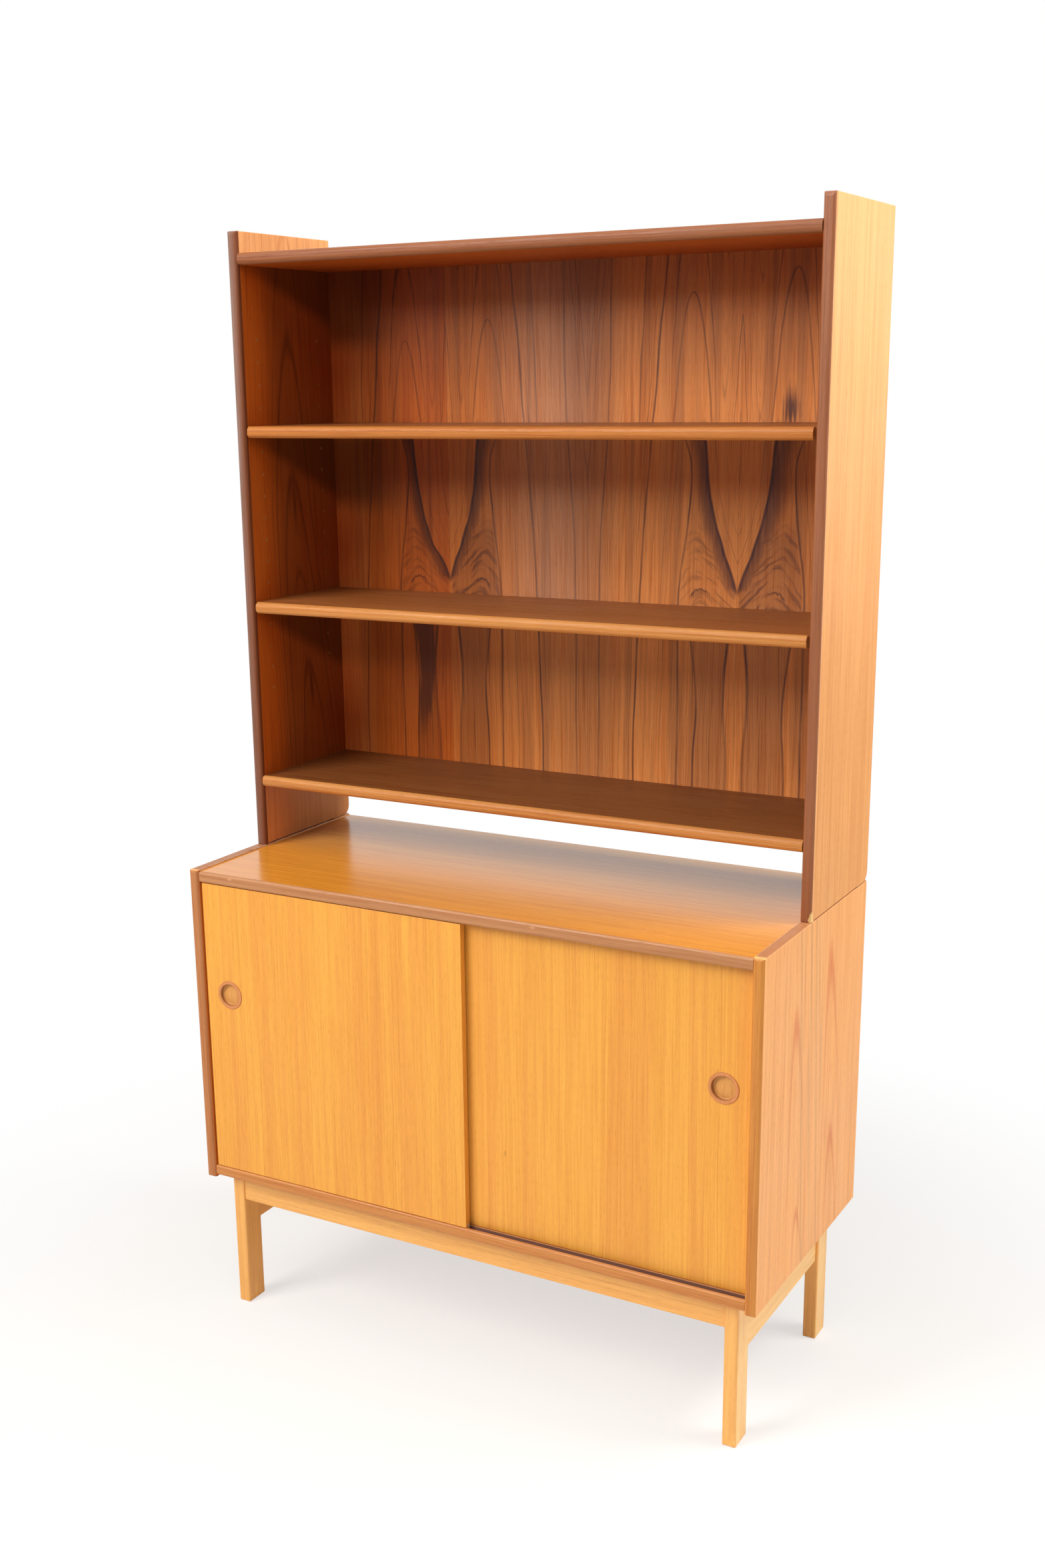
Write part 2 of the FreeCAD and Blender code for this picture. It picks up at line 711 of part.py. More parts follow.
def frame_screws(play):
    """Screws up through the right corner blocks into the cabinet bottom."""
    x = leg_inner - screw_from_leg
    head_z = bottom_under_z - block_height
    places = (cross_apron_middles()[0] + cross_apron / 2 + screw_from_apron,
              cross_apron_middles()[1] - cross_apron / 2 - screw_from_apron)
    return [headed_pin(screw_diameter, screw_head_diameter, screw_head_height,
                       Vector(x, y, bottom_under_z + screw_bite), Vector(x, y, head_z), play)
            for y in places]


def make_leg_frame():
    """The blond frame: four legs, four aprons, and what holds them together."""
    holes = both_sides(frame_dowels(dowel_play))
    nodes = {}
    for name, y in (("front", front_leg), ("rear", rear_leg)):
        right = cut_all(leg(y), holes)
        nodes["leg_" + name + "_right"] = right
        nodes["leg_" + name + "_left"] = mirrored(right)
    for name, middle in zip(("front", "rear"), cross_apron_middles()):
        y = (middle - cross_apron / 2, middle + cross_apron / 2)
        apron = side_prism([(y[0], cross_apron_under_z, apron_round),
                            (y[1], cross_apron_under_z, apron_round),
                            (y[1], bottom_under_z, 0), (y[0], bottom_under_z, 0)],
                           (-leg_inner, leg_inner))
        nodes["apron_" + name] = cut_all(apron, holes)
    middle = (leg_inner + leg_outer) / 2
    x = (middle - side_apron / 2, middle + side_apron / 2)
    apron = front_prism([(x[0], side_apron_under_z, apron_round), (x[1], side_apron_under_z, apron_round),
                         (x[1], bottom_under_z, 0), (x[0], bottom_under_z, 0)],
                        (front_leg[1], rear_leg[0]))
    nodes["apron_right"] = cut_all(apron, holes)
    nodes["apron_left"] = mirrored(nodes["apron_right"])
    nodes["frame_dowels"] = group(both_sides(frame_dowels(0)))
    nodes["corner_blocks"] = group(both_sides(cut_all(piece, frame_screws(screw_play))
                                              for piece in frame_blocks()))
    nodes["frame_screws"] = group(both_sides(frame_screws(0)))
    return nodes


def main():
    """Make every node and write it as its own file."""
    os.makedirs("parts", exist_ok=True)
    nodes = {}
    for maker in (make_hutch, make_cabinet, make_doors, make_leg_frame):
        nodes.update(maker())
    for name, shape in nodes.items():
        shape.exportStep("parts/" + name + ".step")
        print(name, len(shape.Solids), round(shape.Volume), "valid" if shape.isValid() else "NOT VALID")
    print(len(nodes), "nodes")


main()
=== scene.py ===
from math import cos, radians, sin

import bpy
from mathutils import Matrix, Vector


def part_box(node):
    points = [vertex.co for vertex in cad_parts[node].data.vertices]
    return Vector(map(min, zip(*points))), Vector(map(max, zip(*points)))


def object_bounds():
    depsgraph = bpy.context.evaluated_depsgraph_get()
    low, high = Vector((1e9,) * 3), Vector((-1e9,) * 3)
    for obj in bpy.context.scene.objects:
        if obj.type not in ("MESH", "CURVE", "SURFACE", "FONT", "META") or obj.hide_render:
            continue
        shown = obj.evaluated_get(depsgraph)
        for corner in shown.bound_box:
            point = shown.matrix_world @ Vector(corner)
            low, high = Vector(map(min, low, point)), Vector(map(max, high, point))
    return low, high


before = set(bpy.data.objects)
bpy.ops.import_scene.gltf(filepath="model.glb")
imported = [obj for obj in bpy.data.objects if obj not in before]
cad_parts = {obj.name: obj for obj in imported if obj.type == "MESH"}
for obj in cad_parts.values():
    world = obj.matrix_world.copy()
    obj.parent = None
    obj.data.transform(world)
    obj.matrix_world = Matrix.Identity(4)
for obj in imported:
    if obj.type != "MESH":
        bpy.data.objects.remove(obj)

bl_info = {
    "name": "Teak Bookcase with Sliding Doors",
    "version": (1, 0, 0),
    "blender": (4, 5, 0),
    "location": "3D View > Sidebar > Bookcase",
    "description": "Woods, fittings and studio for a teak hutch on a sliding-door cabinet",
    "category": "Object",
}

# The photograph is 1568 by 2352 pixels, and its longer side is the camera's whole sensor
PHOTO_WIDTH = 1568
PHOTO_HEIGHT = 2352
MM = 0.001
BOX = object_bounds()
X, Y, Z = range(3)
LOW, HIGH = range(2)


def face_of(node, end, axis):
    """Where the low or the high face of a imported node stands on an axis, in millimetres."""
    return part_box(node)[end][axis] / MM


def middle_of(node, axis):
    return (face_of(node, LOW, axis) + face_of(node, HIGH, axis)) / 2


# Faces of the boards that the colours follow
SIDE_INNER = face_of("hutch_side_right", LOW, X)
SIDE_OUTER = face_of("hutch_side_right", HIGH, X)
SIDE_FRONT = face_of("hutch_side_right", LOW, Y)
HUTCH_FOOT = face_of("hutch_side_right", LOW, Z)
CABINET_HEIGHT = face_of("cabinet_side_right", HIGH, Z)

# Holes for the shelves' wires, in two columns
HOLE_COLUMNS = (8.5, 174.0)
HOLE_PITCH = 35.4
HOLE_TOP_ROW = 1619.1
HOLE_BOTTOM_ROW = 1050.0

# Depths of the surfaces' relief, in metres
GRAIN_DEPTH = 0.05 * MM
SCRATCH_DEPTH = 0.01 * MM
SCUFF_DEPTH = 0.02 * MM


# Sizes and colours that a user would change

def tint(title, about, default):
    """A linear colour."""
    return bpy.props.FloatVectorProperty(
        name=title, description=about, default=default, min=0, max=1, subtype="COLOR")


def measure(title, about, default, **limits):
    """A size, an angle, a power or another number, with its limits, unit or subtype."""
    return bpy.props.FloatProperty(name=title, description=about, default=default, **limits)


class SurfaceLook(bpy.types.PropertyGroup):
    pore_width: measure("Pore width", "Width of the wood's open pores, in millimetres", 0.55, min=0.1, max=3)
    pore_length: measure("Pore length", "Length of the wood's open pores, in millimetres", 16, min=1, max=200)
    roughness: measure("Roughness", "Roughness of the oiled wood", 0.4, min=0.05, max=1, subtype="FACTOR")
    corner_radius: measure(
        "Corner radius", "How far the boards' corners are eased", 0.0008, min=0, max=0.01, unit="LENGTH")


class HutchLook(bpy.types.PropertyGroup):
    side_colour: tint("Side", "Face of the hutch sides", (0.74, 0.34, 0.11))
    side_line_colour: tint("Side lines", "Growth lines of the hutch sides", (0.56, 0.20, 0.05))
    # The inner face's colour holds painted shade, and its front part's colour painted light
    shaded_inner_colour: tint("Side, inside", "Inner face of the hutch sides", (0.39, 0.10, 0.018))
    lit_inner_front_colour: tint("Side, inside front", "Front part of the hutch sides' inner face", (0.60, 0.135, 0.014))
    back_colour: tint("Back", "Face of the figured back", (0.71, 0.262, 0.07))
    back_band_colour: tint("Back bands", "Brown bands of the figured back", (0.15, 0.054, 0.033))
    back_line_colour: tint("Back lines", "Dark lines of the figured back", (0.056, 0.021, 0.026))
    leaf_width: measure("Leaf width", "Width of one veneer leaf of the back", 0.2622, min=0.05, max=1, unit="LENGTH")
    leaf_axis: measure(
        "Leaf axis", "Place of a book-matched joint of the back, from the middle", -0.251, min=-0.5, max=0.5,
        unit="LENGTH")
    board_colour: tint("Boards", "Faces of the hutch top and shelves", (0.31, 0.105, 0.026))
    board_line_colour: tint("Board lines", "Growth lines of the hutch top and shelves", (0.19, 0.055, 0.016))


class LippingLook(bpy.types.PropertyGroup):
    upright_colour: tint("Uprights", "Lippings of the sides", (0.28, 0.095, 0.035))
    # Painted reflection on the outer half of the left hutch side's lipping
    reflection_colour: tint("Bleached", "Outer half of the left hutch side's lipping", (0.28, 0.19, 0.16))
    rail_colour: tint("Rail", "Lipping of the cabinet bottom", (0.56, 0.22, 0.052))
    top_colour: tint("Cabinet top", "Lipping of the cabinet top", (0.46, 0.205, 0.08))
    shelf_colour: tint("Shelves", "Lippings of the lower shelves", (0.54, 0.22, 0.056))
    upper_shelf_colour: tint("Upper shelf", "Lipping of the upper shelf", (0.457, 0.157, 0.031))
    cabinet_right_colour: tint("Cabinet, right", "Lipping of the right cabinet side", (0.60, 0.235, 0.037))
    # The left cabinet lipping's colour is darker and greyer than the right one's, with painted shade and reflection
    cabinet_left_colour: tint("Cabinet, left", "Lipping of the left cabinet side", (0.46, 0.19, 0.077))
    # Painted shade on the faces beside the doors and shelves
    recess_shade_colour: tint("Recess", "Redder faces beside the doors and shelves", (0.60, 0.15, 0.02))


class CabinetLook(bpy.types.PropertyGroup):
    side_colour: tint("Side", "Faces of the cabinet sides", (0.82, 0.38, 0.12))
    side_line_colour: tint("Side lines", "Growth lines of the cabinet sides", (0.64, 0.20, 0.05))
    side_streak_colour: tint("Side streaks", "Grey-brown streaks of the cabinet sides", (0.56, 0.265, 0.095))
    edge_colour: tint("Side edges", "Top edges of the cabinet sides", (0.37, 0.14, 0.06))
    top_colour: tint("Top", "Face of the cabinet top", (0.75, 0.295, 0.03))
    top_line_colour: tint("Top lines", "Growth lines of the cabinet top", (0.57, 0.19, 0.02))
    inside_colour: tint("Inside", "Boards inside the cabinet", (0.55, 0.26, 0.10))
    inside_line_colour: tint("Inside lines", "Growth lines inside the cabinet", (0.38, 0.16, 0.06))


class DoorLook(bpy.types.PropertyGroup):
    face_colour: tint("Face", "Faces of the doors", (0.81, 0.375, 0.055))
    line_colour: tint("Lines", "Growth lines of the doors", (0.64, 0.23, 0.022))
    band_colour: tint("Bands", "Broad pinkish bands of the doors", (0.74, 0.30, 0.05))
    line_spacing: measure("Line spacing", "Distance between growth lines, in millimetres", 5.5, min=0.5, max=50)
    pull_colour: tint("Pulls", "Rims of the turned finger pulls", (0.63, 0.24, 0.08))
    dish_colour: tint("Dishes", "Dished floors of the finger pulls", (0.68, 0.32, 0.08))


class LegFrameLook(bpy.types.PropertyGroup):
    wood_colour: tint("Wood", "Blond legs and aprons", (0.86, 0.44, 0.10))
    line_colour: tint("Lines", "Growth lines of the blond wood", (0.70, 0.32, 0.08))
    # Painted light on the faces at the unit's ends
    lit_end_colour: tint("End faces", "Paler faces at the unit's ends", (0.86, 0.60, 0.275))


class FittingLook(bpy.types.PropertyGroup):
    steel_colour: tint("Steel", "Wires, nails and screws", (0.55, 0.55, 0.56))
    dowel_colour: tint("Dowels", "Bare wood of the dowels, and of worn spots", (0.75, 0.50, 0.19))
    glide_colour: tint("Glides", "Plastic glides of the doors", (0.62, 0.60, 0.57))


class StudioLook(bpy.types.PropertyGroup):
    camera_place: bpy.props.FloatVectorProperty(
        name="Camera", description="Place of the camera", default=(1.2999, -2.3339, 1.5455), subtype="XYZ",
        unit="LENGTH")
    turn: measure("Turn", "Turn of the camera to the left", radians(29.673), subtype="ANGLE")
    tilt: measure("Tilt", "Tilt of the camera downwards", radians(14.98), subtype="ANGLE")
    roll: measure("Roll", "Roll of the camera", radians(-0.755), subtype="ANGLE")
    focal_length: measure("Focal length", "Focal length for a 36 mm sensor", 39.79, min=1, unit="CAMERA")
    middle_x: measure("Middle, across", "Pixel column that the lens points at", 756.63)
    middle_y: measure("Middle, down", "Pixel row that the lens points at", 1271.45)
    floor_colour: tint("Floor", "Pale floor", (0.93, 0.89, 0.82))
    sky_strength: measure("All-round light", "Strength of the even white light", 0.16, min=0)
    front_power: measure("Front light", "Power of the large lamp at the front left", 165, min=0, unit="POWER")
    top_power: measure("Top light", "Power of the large lamp overhead", 50, min=0, unit="POWER")
    right_power: measure("Right light", "Power of the lamp at the upper right", 52, min=0, unit="POWER")
    side_power: measure("Side light", "Power of the large, distant lamp at the right", 56, min=0, unit="POWER")
    floor_glow: measure(
        "Floor glow", "How far the floor is seen as white under the object", 0.62, min=0, max=1, subtype="FACTOR")


# Shader maths

class Reading:
    """A number that varies over a surface. Arithmetic on it adds Math nodes."""

    def __init__(self, nodes, socket):
        self.nodes = nodes
        self.socket = socket

    def maths(self, operation, *values):
        return self.nodes.node("ShaderNodeMath", {"operation": operation}, values)

    def __add__(self, other):
        return self.maths("ADD", self, other)

    __radd__ = __add__

    def __sub__(self, other):
        return self.maths("SUBTRACT", self, other)

    def __rsub__(self, other):
        return self.maths("SUBTRACT", other, self)

    def __mul__(self, other):
        return self.maths("MULTIPLY", self, other)

    __rmul__ = __mul__

    def __truediv__(self, other):
        return self.maths("DIVIDE", self, other)

    def __rtruediv__(self, other):
        return self.maths("DIVIDE", other, self)

    def __abs__(self):
        return self.maths("ABSOLUTE", self)

    def floor(self):
        return self.maths("FLOOR", self)

    def root(self):
        return self.maths("SQRT", self)

    def squared(self):
        return self * self

    def distance(self, other):
        """The distance from 0 that the two make at right angles."""
        return (self.squared() + other.squared()).root()

    def fold(self, width):
        """Runs from 0 up to width and back again."""
        return self.maths("PINGPONG", self, width)

    def least(self, other):
        return self.maths("MINIMUM", self, other)

    def most(self, other):
        return self.maths("MAXIMUM", self, other)

    def held(self):
        """Kept from 0 to 1."""
        return self.most(0.0).least(1.0)

    def rise(self, start, end):
        """0 up to start, 1 from end, and a smooth step between."""
        return self.nodes.node(
            "ShaderNodeMapRange", {"interpolation_type": "SMOOTHSTEP"},
            {"Value": self, "From Min": start, "From Max": end})

    def near(self, centre, reach):
        """1 at the centre, 0 from reach on."""
        return 1 - abs(self - centre).rise(0, reach)

    def between(self, start, end, blur):
        return self.rise(start - blur, start + blur) * (1 - self.rise(end - blur, end + blur))

    def course(self, points):
        """A line's place as it runs along: smooth through a few (along, across) points, with across from 0 to 300."""
        widest = 300
        low, high = points[0][0], points[-1][0]
        stops = [((along - low) / (high - low), (across / widest,) * 3 + (1,)) for along, across in points]
        part = (self - low) / (high - low)
        drawn = self.nodes.node("ShaderNodeValToRGB", {"stops": stops, "interpolation": "CARDINAL"}, {"Fac": part})
        return drawn * widest


class Nodes:
    """The nodes of a material or a world."""

    def __init__(self, tree):
        self.tree = tree
        tree.nodes.clear()

    def node(self, kind, settings=(), values=(), output=0):
        """Adds a node with its settings, its sockets' values and links, and returns one of its outputs."""
        new = self.tree.nodes.new(kind)
        for name, value in dict(settings).items():
            if name == "stops":
                ramp = new.color_ramp
                while len(ramp.elements) < len(value):
                    ramp.elements.new(0.5)
                for element, (place, colour) in zip(ramp.elements, value):
                    element.position = place
                    element.color = colour
            elif name == "interpolation":
                new.color_ramp.interpolation = value
            else:
                setattr(new, name, value)
        pairs = values.items() if isinstance(values, dict) else enumerate(values)
        for key, value in pairs:
            socket = new.inputs[key]
            if isinstance(value, Reading):
                self.tree.links.new(value.socket, socket)
            else:
                socket.default_value = value
        return Reading(self, new.outputs[output] if new.outputs else None)

    def noise(self, x, y, z, detail=3.0):
        """Smooth noise about 0 at three scaled coordinates."""
        at = self.node("ShaderNodeCombineXYZ", {}, (x, y, z))
        return self.node(
            "ShaderNodeTexNoise", {"normalize": False}, {"Vector": at, "Scale": 1.0, "Detail": detail})

    def random(self, number, seed):
        """A number from 0 to 1 for each whole number."""
        return self.node("ShaderNodeTexWhiteNoise", {"noise_dimensions": "1D"}, {"W": number + seed})

    def blend(self, amount, first, second, way="MIX"):
        """From the first colour to the second, or as far as the amount goes another way of mixing them."""
        first, second = (c if isinstance(c, Reading) else (*c, 1.0) for c in (first, second))
        # A Mix node has its sockets for colours after those for numbers and vectors
        return self.node(
            "ShaderNodeMix", {"data_type": "RGBA", "blend_type": way}, {0: amount, 6: first, 7: second}, 2)

    def shaded(self, colour, amount):
        """The colour times a number."""
        return self.node("ShaderNodeVectorMath", {"operation": "SCALE"}, {"Vector": colour, "Scale": amount})


class Finish(Nodes):
    """A material: its nodes, its shader and the place of each point in millimetres."""

    def __init__(self, name):
        self.material = bpy.data.materials.new(name)
        self.material.use_nodes = True
        super().__init__(self.material.node_tree)
        coordinates = self.node("ShaderNodeTexCoord", output="Object")
        scaled = self.node("ShaderNodeVectorMath", {"operation": "SCALE"}, {"Vector": coordinates, "Scale": 1 / MM})
        parts = self.node("ShaderNodeSeparateXYZ", {}, {"Vector": scaled}, "X")
        self.place = {axis.lower(): Reading(self, parts.socket.node.outputs[axis]) for axis in "XYZ"}

    def at(self, axes):
        """Each point's places on some axes, such as "xz"."""
        return tuple(self.place[axis] for axis in axes)

    def eased(self, radius):
        """The normal, with sharp corners eased."""
        return self.node("ShaderNodeBevel", {"samples": 4}, {"Radius": radius})

    def edge(self, radius):
        """1 on sharp corners, 0 away from them."""
        plain = self.node("ShaderNodeNewGeometry", output="True Normal")
        turned = self.node(
            "ShaderNodeVectorMath", {"operation": "DOT_PRODUCT"}, (self.eased(radius), plain), "Value")
        return (1 - turned).rise(0.03, 0.28)

    def close(self, colour, roughness, height=None, bump=0.0, radius=0.0, gloss=()):
        """Joins colour, roughness and relief to the shader. Gloss gives values of its other sockets."""
        values = {"Base Color": colour, "Roughness": roughness, **dict(gloss)}
        normal = self.eased(radius) if radius else None
        if height is not None:
            inputs = {"Strength": 1.0, "Distance": bump, "Height": height}
            if normal is not None:
                inputs["Normal"] = normal
            normal = self.node("ShaderNodeBump", {}, inputs)
        if normal is not None:
            values["Normal"] = normal
        surface = self.node("ShaderNodeBsdfPrincipled", {}, values)
        self.node("ShaderNodeOutputMaterial", {}, {"Surface": surface})
        return self.material


# How the woods shine: sheltered faces little, handled and oiled ones more
DULL = {"Specular IOR Level": 0.05}
SHELTERED = {"Specular IOR Level": 0.22}
SATIN = {"Specular IOR Level": 0.4}
SMOOTH = {"Specular IOR Level": 0.75}
RUBBED = {"Specular IOR Level": 0.0, "Coat Weight": 1.0, "Coat Roughness": 0.21, "Coat IOR": 1.72}

# A darker streak of teak is also redder
STREAK_TINT = (0.74, 0.55, 0.38)


class Wood(Finish):
    """A wood: its grain runs along one axis, such as "zxy" for along z, across x and deep y."""

    def __init__(self, name, grain, seed=0.0):
        super().__init__(name)
        self.along, self.across, self.deep = self.at(grain)
        self.seed = seed
        look = bpy.context.scene.bookcase_surface
        self.fibre = self.noise(self.across / 1.3 + seed, self.deep / 1.6, self.along / 100)
        self.streak = self.noise(self.across / 6.5 + seed, self.deep / 9, self.along / 420)
        self.band = self.noise(self.across / 50 + seed, self.deep / 70, self.along / 900, detail=2)
        self.pore = self.noise(
            self.across / look.pore_width, self.deep / look.pore_width + seed, self.along / look.pore_length,
            detail=1).rise(0.18, 0.55)

    def sway(self, amount=6.0):
        """How far the grain wanders sideways."""
        slow = self.noise(self.across / 120, self.deep / 80, self.along / 560 + self.seed, detail=1)
        quick = self.noise(self.across / 30, self.deep / 26 + self.seed, self.along / 200, detail=2)
        return slow * amount + quick * (amount * 0.16)

    def lines(self, field, spacing, reach, seed=0.0):
        """Growth lines, one in each spacing, each at its own place, of its own darkness and fading here and there."""
        turn = field / spacing
        number = turn.floor()
        middle = self.random(number, seed + self.seed) * 0.5 + 0.25
        darkness = self.random(number, seed + self.seed + 31.7)
        fading = self.noise(number * 3.7, seed, self.along / 130, detail=2).rise(-0.5, 0.35) * 0.7 + 0.3
        return (turn - number).near(middle, reach / spacing) * (darkness * darkness * 0.85 + 0.15) * fading

    def worn_and_highlit(self):
        """1 where the corners are rubbed; painted paler there, they show wear and a painted highlight."""
        rub = self.noise(self.across / 9, self.deep / 9, self.along / 30).rise(-0.3, 0.5)
        return self.edge(1.6 * MM) * rub

    def finished(self, colour, line, wear=None, worn=(0.9, 0.7, 0.5), figure=1.0, gloss=()):
        """Fibres, streaks and pores over the colour, with the surface's relief."""
        look = bpy.context.scene.bookcase_surface
        deepened = (self.fibre * 0.5 + self.streak * 0.42) * figure + self.band * 0.1 + 0.22
        colour = self.blend(deepened, colour, STREAK_TINT, "MULTIPLY")
        colour = self.shaded(colour, 1.06 - self.pore * 0.14)
        if wear is not None:
            colour = self.blend(wear, colour, worn)
        handled = self.noise(self.along / 160, self.across / 110, self.deep / 110, detail=2)
        roughness = self.pore * 0.12 + handled * 0.08 - line * 0.03 + look.roughness
        height = self.fibre * 0.25 - self.pore - line * 0.3
        return self.close(colour, roughness, height, GRAIN_DEPTH, look.corner_radius, gloss)


def assign(material, *names):
    for name in names:
        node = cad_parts.get(name)
        if node is None:
            raise RuntimeError(f"the frame has no node {name}")
        node.data.materials.clear()
        node.data.materials.append(material)


def paler(colour):
    """The colour where its corners are rubbed, paler for wear and a painted highlight."""
    return tuple(min(1.0, 1.25 * part + 0.06) for part in colour)


def darker(colour, amount=0.7):
    return tuple(amount * part for part in colour)


def straight(name, grain, colour, line_colour, spacing, seed, sway=5.0, strength=0.8, worn_and_highlit=0.0, figure=1.0,
             gloss=(), marks=None):
    """Plain straight-grained wood with growth lines. Marks gives pairs of a mask and the colour that shows there."""
    wood = Wood(name, grain, seed)
    field = wood.across + wood.deep * 0.35 + wood.sway(sway)
    line = wood.lines(field, spacing, spacing * 0.13 + 0.35)
    fine = wood.lines(field + 3.1, spacing * 0.42, 0.5, 5.0)
    drawn = (line * strength + fine * (strength * 0.5)).held()
    painted = wood.blend(drawn, colour, line_colour)
    for mask, tone in marks(wood) if marks else ():
        painted = wood.blend(mask, painted, tone)
    # Rubbed corners are painted paler, for wear and a painted highlight
    wear = wood.worn_and_highlit() * worn_and_highlit if worn_and_highlit else None
    return wood.finished(painted, drawn, wear, paler(colour), figure, gloss)


class BookcaseOperator(bpy.types.Operator):
    bl_options = {"REGISTER", "UNDO"}


class HutchSides(BookcaseOperator):
    """Veneer of the two hutch sides, pale outside and red-brown inside, with painted light and shade, and rows of
    holes
    """
    bl_idname = "bookcase.hutch_sides"
    bl_label = "Hutch Sides"

    def execute(self, context):
        look = context.scene.bookcase_hutch
        bare = context.scene.bookcase_fittings.dowel_colour
        wood = Wood("hutch side veneer", "zyx", 11.0)
        x, y, z = wood.at("xyz")
        inner_face = 1 - abs(x).rise(SIDE_INNER + 0.5, SIDE_INNER + 2)
        # Painted shade makes the inner face browner between the hutch top and the lower shelf than below that
        inside = inner_face * (1 - z.rise(1738, 1746)) * (z.rise(885, 905) * 0.55 + 0.45)
        # Outside, straight lines. Inside, tall arches with a dark heart, one above the other
        straight_lines = wood.lines(wood.across + wood.sway(7.0), 8.0, 1.0)
        aside = y - z.course(((780, 130), (1020, 118), (1300, 92), (1600, 88), (1790, 90)))
        arch = (aside.squared() + (z - 700) * 8.0 + wood.sway(260)).most(0).root()
        arches = wood.lines(arch, 7.0, 0.9, 3.0)
        bold = arch.near(86, 1.5).most(arch.near(74.5, 1.5)).most(arch.near(55, 1.6))
        heart = aside.near(2.0, 7) * arch.between(50, 55, 2).most(arch.between(70.5, 74, 2)) * 0.75
        figure = (arches * 0.55).most(bold * 0.55).most(heart) * (z.rise(850, 890) * 0.7 + 0.3)
        drawn = (straight_lines * (1 - inner_face) * 0.4 + inner_face * figure).held()
        # Painted light: outside, the veneer is paler towards the top; inside, its front part is brighter
        painted_light_above = wood.blend(z.rise(1000, 1780) * 0.5, darker(look.side_colour, 0.93), paler(look.side_colour))
        inner = wood.blend(y.rise(5, 65), look.lit_inner_front_colour, look.shaded_inner_colour)
        face = wood.blend(inside, painted_light_above, inner)
        dark = wood.blend(inside, look.side_line_colour, (0.11, 0.025, 0.010))
        painted = wood.blend(drawn, face, dark)
        # Bare wood shows round each support hole, and a painted shadow darkens the joint under the side
        column = abs(y - HOLE_COLUMNS[0]).least(abs(y - HOLE_COLUMNS[1]))
        from_hole = column.distance((z - HOLE_TOP_ROW).fold(HOLE_PITCH / 2))
        hole = (1 - from_hole.rise(1.9, 2.6)) * inner_face
        hole = hole * z.between(HOLE_BOTTOM_ROW, HOLE_TOP_ROW + 3, 0.5)
        joint = (1 - z.rise(HUTCH_FOOT + 0.8, HUTCH_FOOT + 2.1)) * y.rise(-10, 30)
        painted = wood.shaded(painted, 1 - joint * 0.6)
        # Painted shadows under each board, in a wedge that is deeper towards the back
        board_shadows = 0.0
        for board, slope in (("hutch_top", 0.36), ("upper_shelf", 0.44), ("middle_shelf", 0.5)):
            underside = face_of(board, LOW, Z)
            board_shadow = (z + (y - SIDE_FRONT) * slope).rise(underside - 16, underside + 16)
            board_shadows = board_shadow * (1 - z.rise(underside, underside + 2)) + board_shadows
        painted = wood.shaded(painted, 1 - board_shadows * inner_face * 0.52)
        assign(wood.finished(painted, drawn, hole * 0.4, bare, 0.8, SHELTERED), "hutch_side_right", "hutch_side_left")
        return {"FINISHED"}


